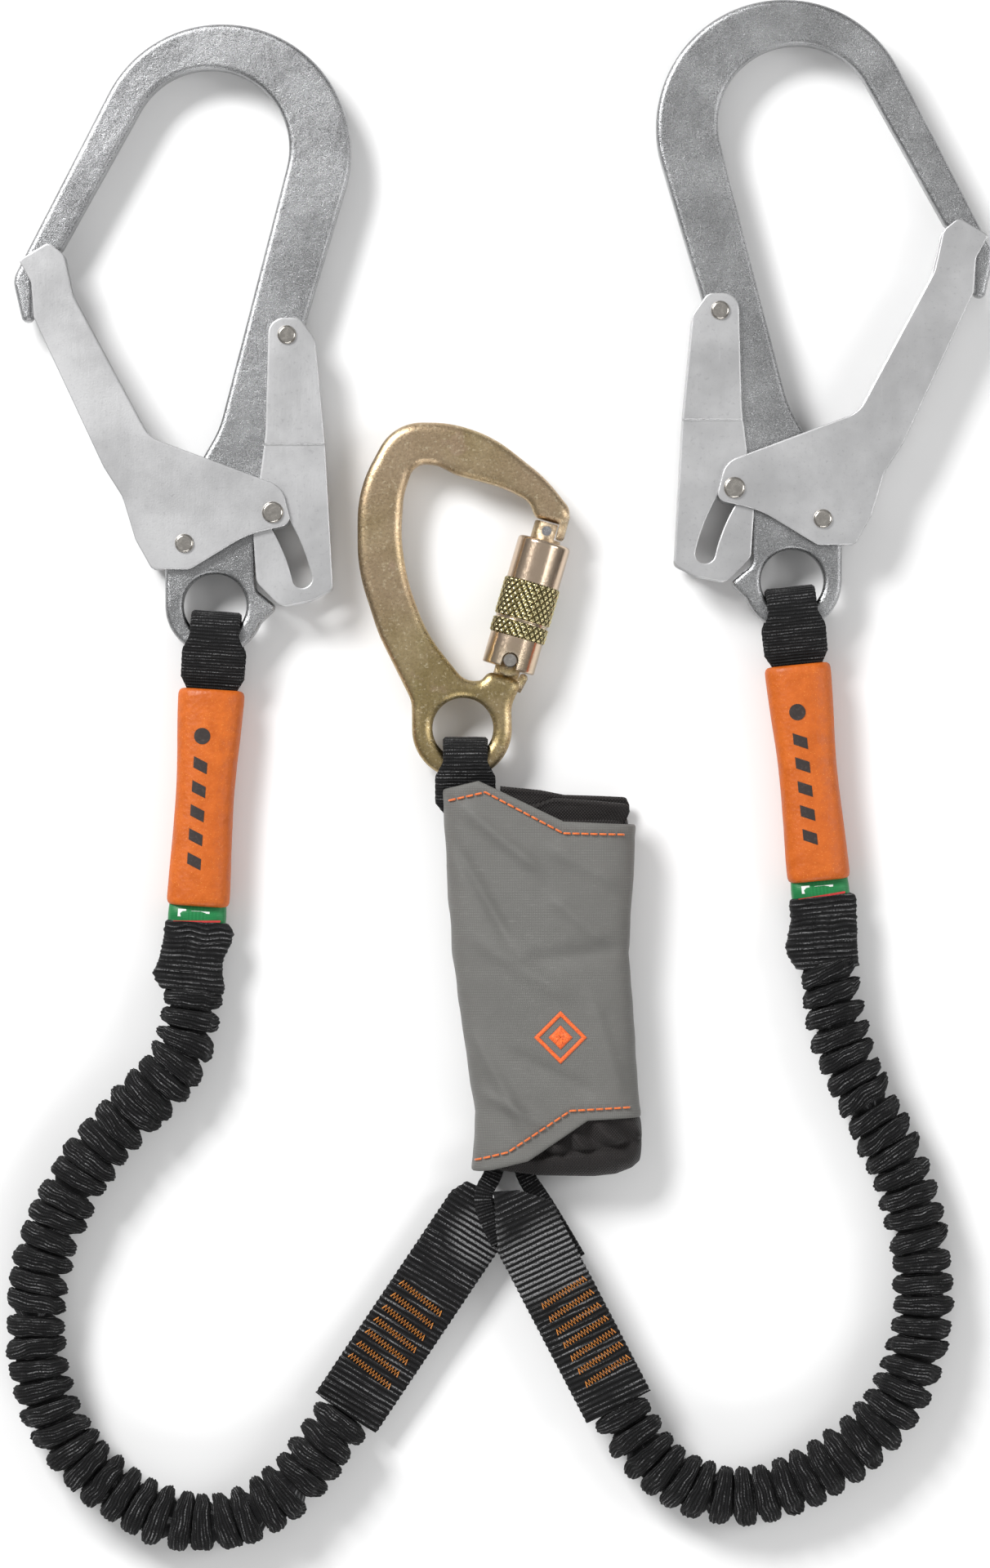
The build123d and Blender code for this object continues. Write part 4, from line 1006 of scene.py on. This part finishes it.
def emblem():
    """A plain diamond in satin stitch: a frame and a filled middle, by their reach and width."""
    x0, y0 = 25.5, -98.7
    lines = []
    for reach, width in ((10.2, 1.9), (4.6, 4.6)):
        steps = int(reach * 9)
        for corner in range(4):
            a0, a1 = pi / 2 * corner, pi / 2 * (corner + 1)
            for k in range(steps):
                t = (k + 0.5) / steps
                dx = cos(a0) * (1 - t) + cos(a1) * t
                dy = sin(a0) * (1 - t) + sin(a1) * t
                points = []
                for m in range(5):
                    r = reach - width + width * m / 4
                    lift = 0.12 + 0.35 * sin(pi * m / 4) ** 0.6
                    points.append(on_cover(x0 + dx * r, y0 + dy * r, lift))
                lines.append(points)
    threads("emblem_stitches", lines, 0.2, EMBROIDERY, "emblem_dark", ["pack_emblem"])


emblem()


# -------- sewn ends, tacks, pack straps, top loop
END_OUTLINES = {
    "left": [(-70.3, -239.1), (-17.0, -159.8), (-10.6, -155.8), (-2.5, -160.2), (7.9, -173.5),
             (-46.7, -254.9)],
    "right": [(36.1, -250.0), (60.9, -237.0), (22.3, -162.9), (9.5, -158.8), (-0.5, -159.4), (1.5, -183.6)],
}
END_T = 7.0
END_LEVELS = {"left": MID - 8.5, "right": MID + 0.9}
END_PLIES = [(1.3, 0.6), (0.0, -0.5), (0.5, 0.2)]       # each ply's inset and sideways slip
END_COLUMNS = [0, 0.015, 0.05, 0.12, 0.24, 0.38, 0.5, 0.62, 0.76, 0.88, 0.95, 0.985, 1]
# Each end's axis, from its tip by the pack to its foot at the leg.
END_AXES = {
    "left": ((-4.0, -155.4), (-58.5, -247.0)),
    "right": ((8.5, -158.4), (48.5, -243.5)),
}
# The bar tacks: the first one's middle, the step to the next, and their lean.
TACKS = {
    "left": ((-29.0, -201.5), (-3.33, -4.75), -39.0),
    "right": ((26.8, -198.5), (2.83, -5.1), 33.7),
}
STRAP_ROUTES = {
    "left": [(0.3, -128.5), (0.5, -146.0), (-0.4, -153.0), (-5.0, -160.0), (-4.0, -168.0), (2.0, -180.0)],
    "right": [(8.0, -128.5), (8.8, -150.0), (19.6, -164.5), (32.0, -186.0)],
}


def cross_extent(outline, x, y, nx, ny):
    """Where a line through (x, y) along (nx, ny) enters and leaves an outline."""
    hits = []
    for (ax, ay), (bx, by) in zip(outline, outline[1:] + outline[:1]):
        ex, ey = bx - ax, by - ay
        det = ex * ny - ey * nx
        t = ((x - ax) * ny - (y - ay) * nx) / det
        if 0 <= t <= 1:
            hits.append((ax + ex * t - x) * nx + (ay + ey * t - y) * ny)
    return min(hits), max(hits)


def end_piece(side, seed):
    """A leg's sewn end: flat plies of ribbed webbing, laid one on another and cut slantwise at the tip."""
    outline = END_OUTLINES[side]
    (x0, y0), (x1, y1) = END_AXES[side]
    long = hypot(x1 - x0, y1 - y0)
    dx, dy = (x1 - x0) / long, (y1 - y0) / long
    spots = [(x - x0) * dx + (y - y0) * dy for x, y in outline]
    first, last = min(spots) + 0.15, max(spots) - 0.15
    rows = int((last - first) / 0.5)
    thick = END_T / len(END_PLIES)
    section = [(u, 1) for u in END_COLUMNS] + [(u, -1) for u in reversed(END_COLUMNS)]
    for ply, (inset, slip) in enumerate(END_PLIES):
        level = END_LEVELS[side] + thick * (ply + 0.5)
        ribbed = 0.12 * (ply == len(END_PLIES) - 1)
        points, weave = [], []
        for k in range(rows + 1):
            d = first + inset * 0.6 + (last - first - inset) * k / rows
            low, high = cross_extent(outline, x0 + dx * d, y0 + dy * d, -dy, dx)
            knob = inset * 0.5 - 0.2 * sin(d * 2 * pi / SELVEDGE_PITCH + ply)
            low, high = low + slip * 0.4 + knob, high + slip * 0.4 - knob
            wide = max(high - low, 0.4)
            for u, face in section:
                off = low + wide * u
                edge = min(1.0, 0.45 + min(u, 1 - u) * wide / 1.2)
                rib = sin(d * 2 * pi / 2.2 + 0.9 * wobble(off * 0.2, d * 0.1, seed))
                soft = 0.35 * wobble(off * 0.09, d * 0.06, seed + ply * 4.0)
                z = level + face * (thick / 2 * edge + ribbed * rib) + soft
                points.append(place(x0 + dx * d - dy * off, y0 + dy * d + dx * off, max(0.3, z)))
                weave.append((off, d))
        tube(f"{side}_end_ply_{ply + 1}", points, len(section), BLACK_END, "black_webbing", weave,
             () if ply else [f"{side}_sewn_end"])


def tack_lines(side):
    """Seven bar tacks, each one zig-zag thread."""
    (x0, y0), (step_x, step_y), lean = TACKS[side]
    c, s = cos(radians(lean)), sin(radians(lean))
    level = END_LEVELS[side] + END_T + 0.45
    half_long, half_wide, teeth = 10.1, 1.15, 15
    lines = []
    for index in range(7):
        points = []
        for k in range(2 * teeth + 1):
            along = half_long * (k / teeth - 1)
            off = half_wide * (1 if k % 2 else -1)
            points.append(place(x0 + index * step_x + along * c - off * s,
                                y0 + index * step_y + along * s + off * c, level + 0.12 * (k % 2 - 0.5)))
        lines.append(points)
    return lines


def pack_strap(side, seed):
    """The narrow strap from a sewn end into the pack, along a smoothed route."""
    route = STRAP_ROUTES[side]
    middles = [((a[0] + b[0]) / 2, (a[1] + b[1]) / 2) for a, b in zip(route, route[1:])]
    starts, stops = [route[0]] + middles[1:], middles[1:-1] + [route[-1]]
    path = []
    for start, corner, stop in zip(starts, route[1:], stops):
        for k in range(12):
            t = k / 12
            x, y = ((1 - t) ** 2 * start[i] + 2 * t * (1 - t) * corner[i] + t * t * stop[i] for i in (0, 1))
            path.append(place(x, y, MID - 0.3))
    path.append(place(*route[-1], MID - 0.3))
    strap(f"{side}_strap_webbing", path, lambda distance: 7.3, 2.0, [f"{side}_pack_strap"], 0.1, seed)


for side, seed in (("left", 4), ("right", 8)):
    end_piece(side, seed)
    threads(f"{side}_tack_stitches", tack_lines(side), 0.29, TACK_THREAD, "tack_thread",
            [f"{side}_bar_tacks"])
    pack_strap(side, seed)

CARABINER_SWING = (-11.6, 8.5)


def in_top_loop(x, y, z=0.0):
    return place(CARABINER_SWING[0] + x, CARABINER_SWING[1] + y, MID + z)


loop_piece("top_loop_webbing", in_top_loop, 8.8, 20.5, 31.0, (17.5, 23.6, 13.0), 2.4, "pack_top_loop", 9)


# -------- knurl on the carabiner's lock
GATE_HINGE = (5.9, 48.3)
GATE_LEAN = radians(16.26)
SLEEVE_R = 10.5
KNURL_TURNS = 12            # ridges each way round the lock
KNURL_SLOPE = 0.92          # their phase per mm along it
KNURL_DEPTH = 0.75


def by_gate(along, radius, angle):
    """A point round the closed gate, at a distance along it from its hinge."""
    c, s = cos(GATE_LEAN), sin(GATE_LEAN)
    left = radius * cos(angle)
    return place(GATE_HINGE[0] + along * s - left * c, GATE_HINGE[1] + along * c + left * s,
                 MID + radius * sin(angle))


def knurl_piece(name, low, high, body):
    """A thin ring of diamond knurl round the lock, low in its grooves and closed underneath."""
    around, rows = 264, int((high - low) / 0.22)
    points, weave = [], []
    for k in range(rows + 1):
        along = low + (high - low) * k / rows
        for angle in turns(around):
            first, second = (KNURL_TURNS * angle + slope * along for slope in (KNURL_SLOPE, -KNURL_SLOPE))
            rise = KNURL_DEPTH * min(abs(sin(first)), abs(sin(second))) ** 0.8
            rise *= min(1.0, min(along - low, high - along) / 0.5)
            points.append(by_gate(along, SLEEVE_R + 0.04 + rise, angle))
            weave.append((first, second))
    for along in (high, low):
        points += [by_gate(along, SLEEVE_R - 0.3, angle) for angle in turns(around)]
        weave += [(0.0, 0.0)] * around
    tube(name, points, around, KNURL, "yellow_zinc_gloss", weave, (), body, closed=True)


knurl_piece("sleeve_knurl", 16.5, 31.7, "lock_sleeve")
knurl_piece("collar_knurl", 9.3, 15.5, "lock_collar")


# -------- floor, light
def floor():
    size = 3.0
    mesh = bpy.data.meshes.new("floor")
    corners = [(-size, -size, 0), (size, -size, 0), (size, size, 0), (-size, size, 0)]
    mesh.from_pydata(corners, [], [range(4)])
    n = Nodes("floor")
    n.set(Base_Color=n.mix(n.noise(n.where(), 3, 2), (0.86, 0.86, 0.86), (0.90, 0.90, 0.90)), Roughness=0.9)
    mesh.materials.append(n.material)
    add("floor", mesh)


def sky():
    """A white sky, brighter overhead than at its edge."""
    world = bpy.data.worlds.new("studio")
    bpy.context.scene.world = world
    world.use_nodes = True
    nodes, links = world.node_tree.nodes, world.node_tree.links
    ramp = nodes.new("ShaderNodeMapRange")
    apart = nodes.new("ShaderNodeSeparateXYZ")
    links.new(nodes.new("ShaderNodeTexCoord").outputs["Generated"], apart.inputs["Vector"])
    links.new(apart.outputs["Z"], ramp.inputs["Value"])
    for socket, value in (("From Min", 0.15), ("From Max", 0.98), ("To Min", 0.24), ("To Max", 0.50)):
        ramp.inputs[socket].default_value = value
    links.new(ramp.outputs["Result"], nodes["Background"].inputs["Strength"])
    nodes["Background"].inputs["Color"].default_value = (1.0, 1.0, 1.0, 1.0)


def softbox(name, location, size, energy):
    """A rectangular area light aimed at the origin."""
    data = bpy.data.lights.new(name, "AREA")
    data.shape = "RECTANGLE"
    data.size, data.size_y = size
    data.energy = energy
    light = add(name, data)
    light.location = location
    light.rotation_euler = (-Vector(location)).to_track_quat("-Z", "Y").to_euler()


floor()
sky()
softbox("key", (-1.1, 1.2, 1.5), (0.9, 0.7), 52)
softbox("fill", (1.4, 0.1, 1.2), (0.6, 1.0), 9)
softbox("rim", (0.2, -1.5, 0.9), (1.2, 0.4), 8)
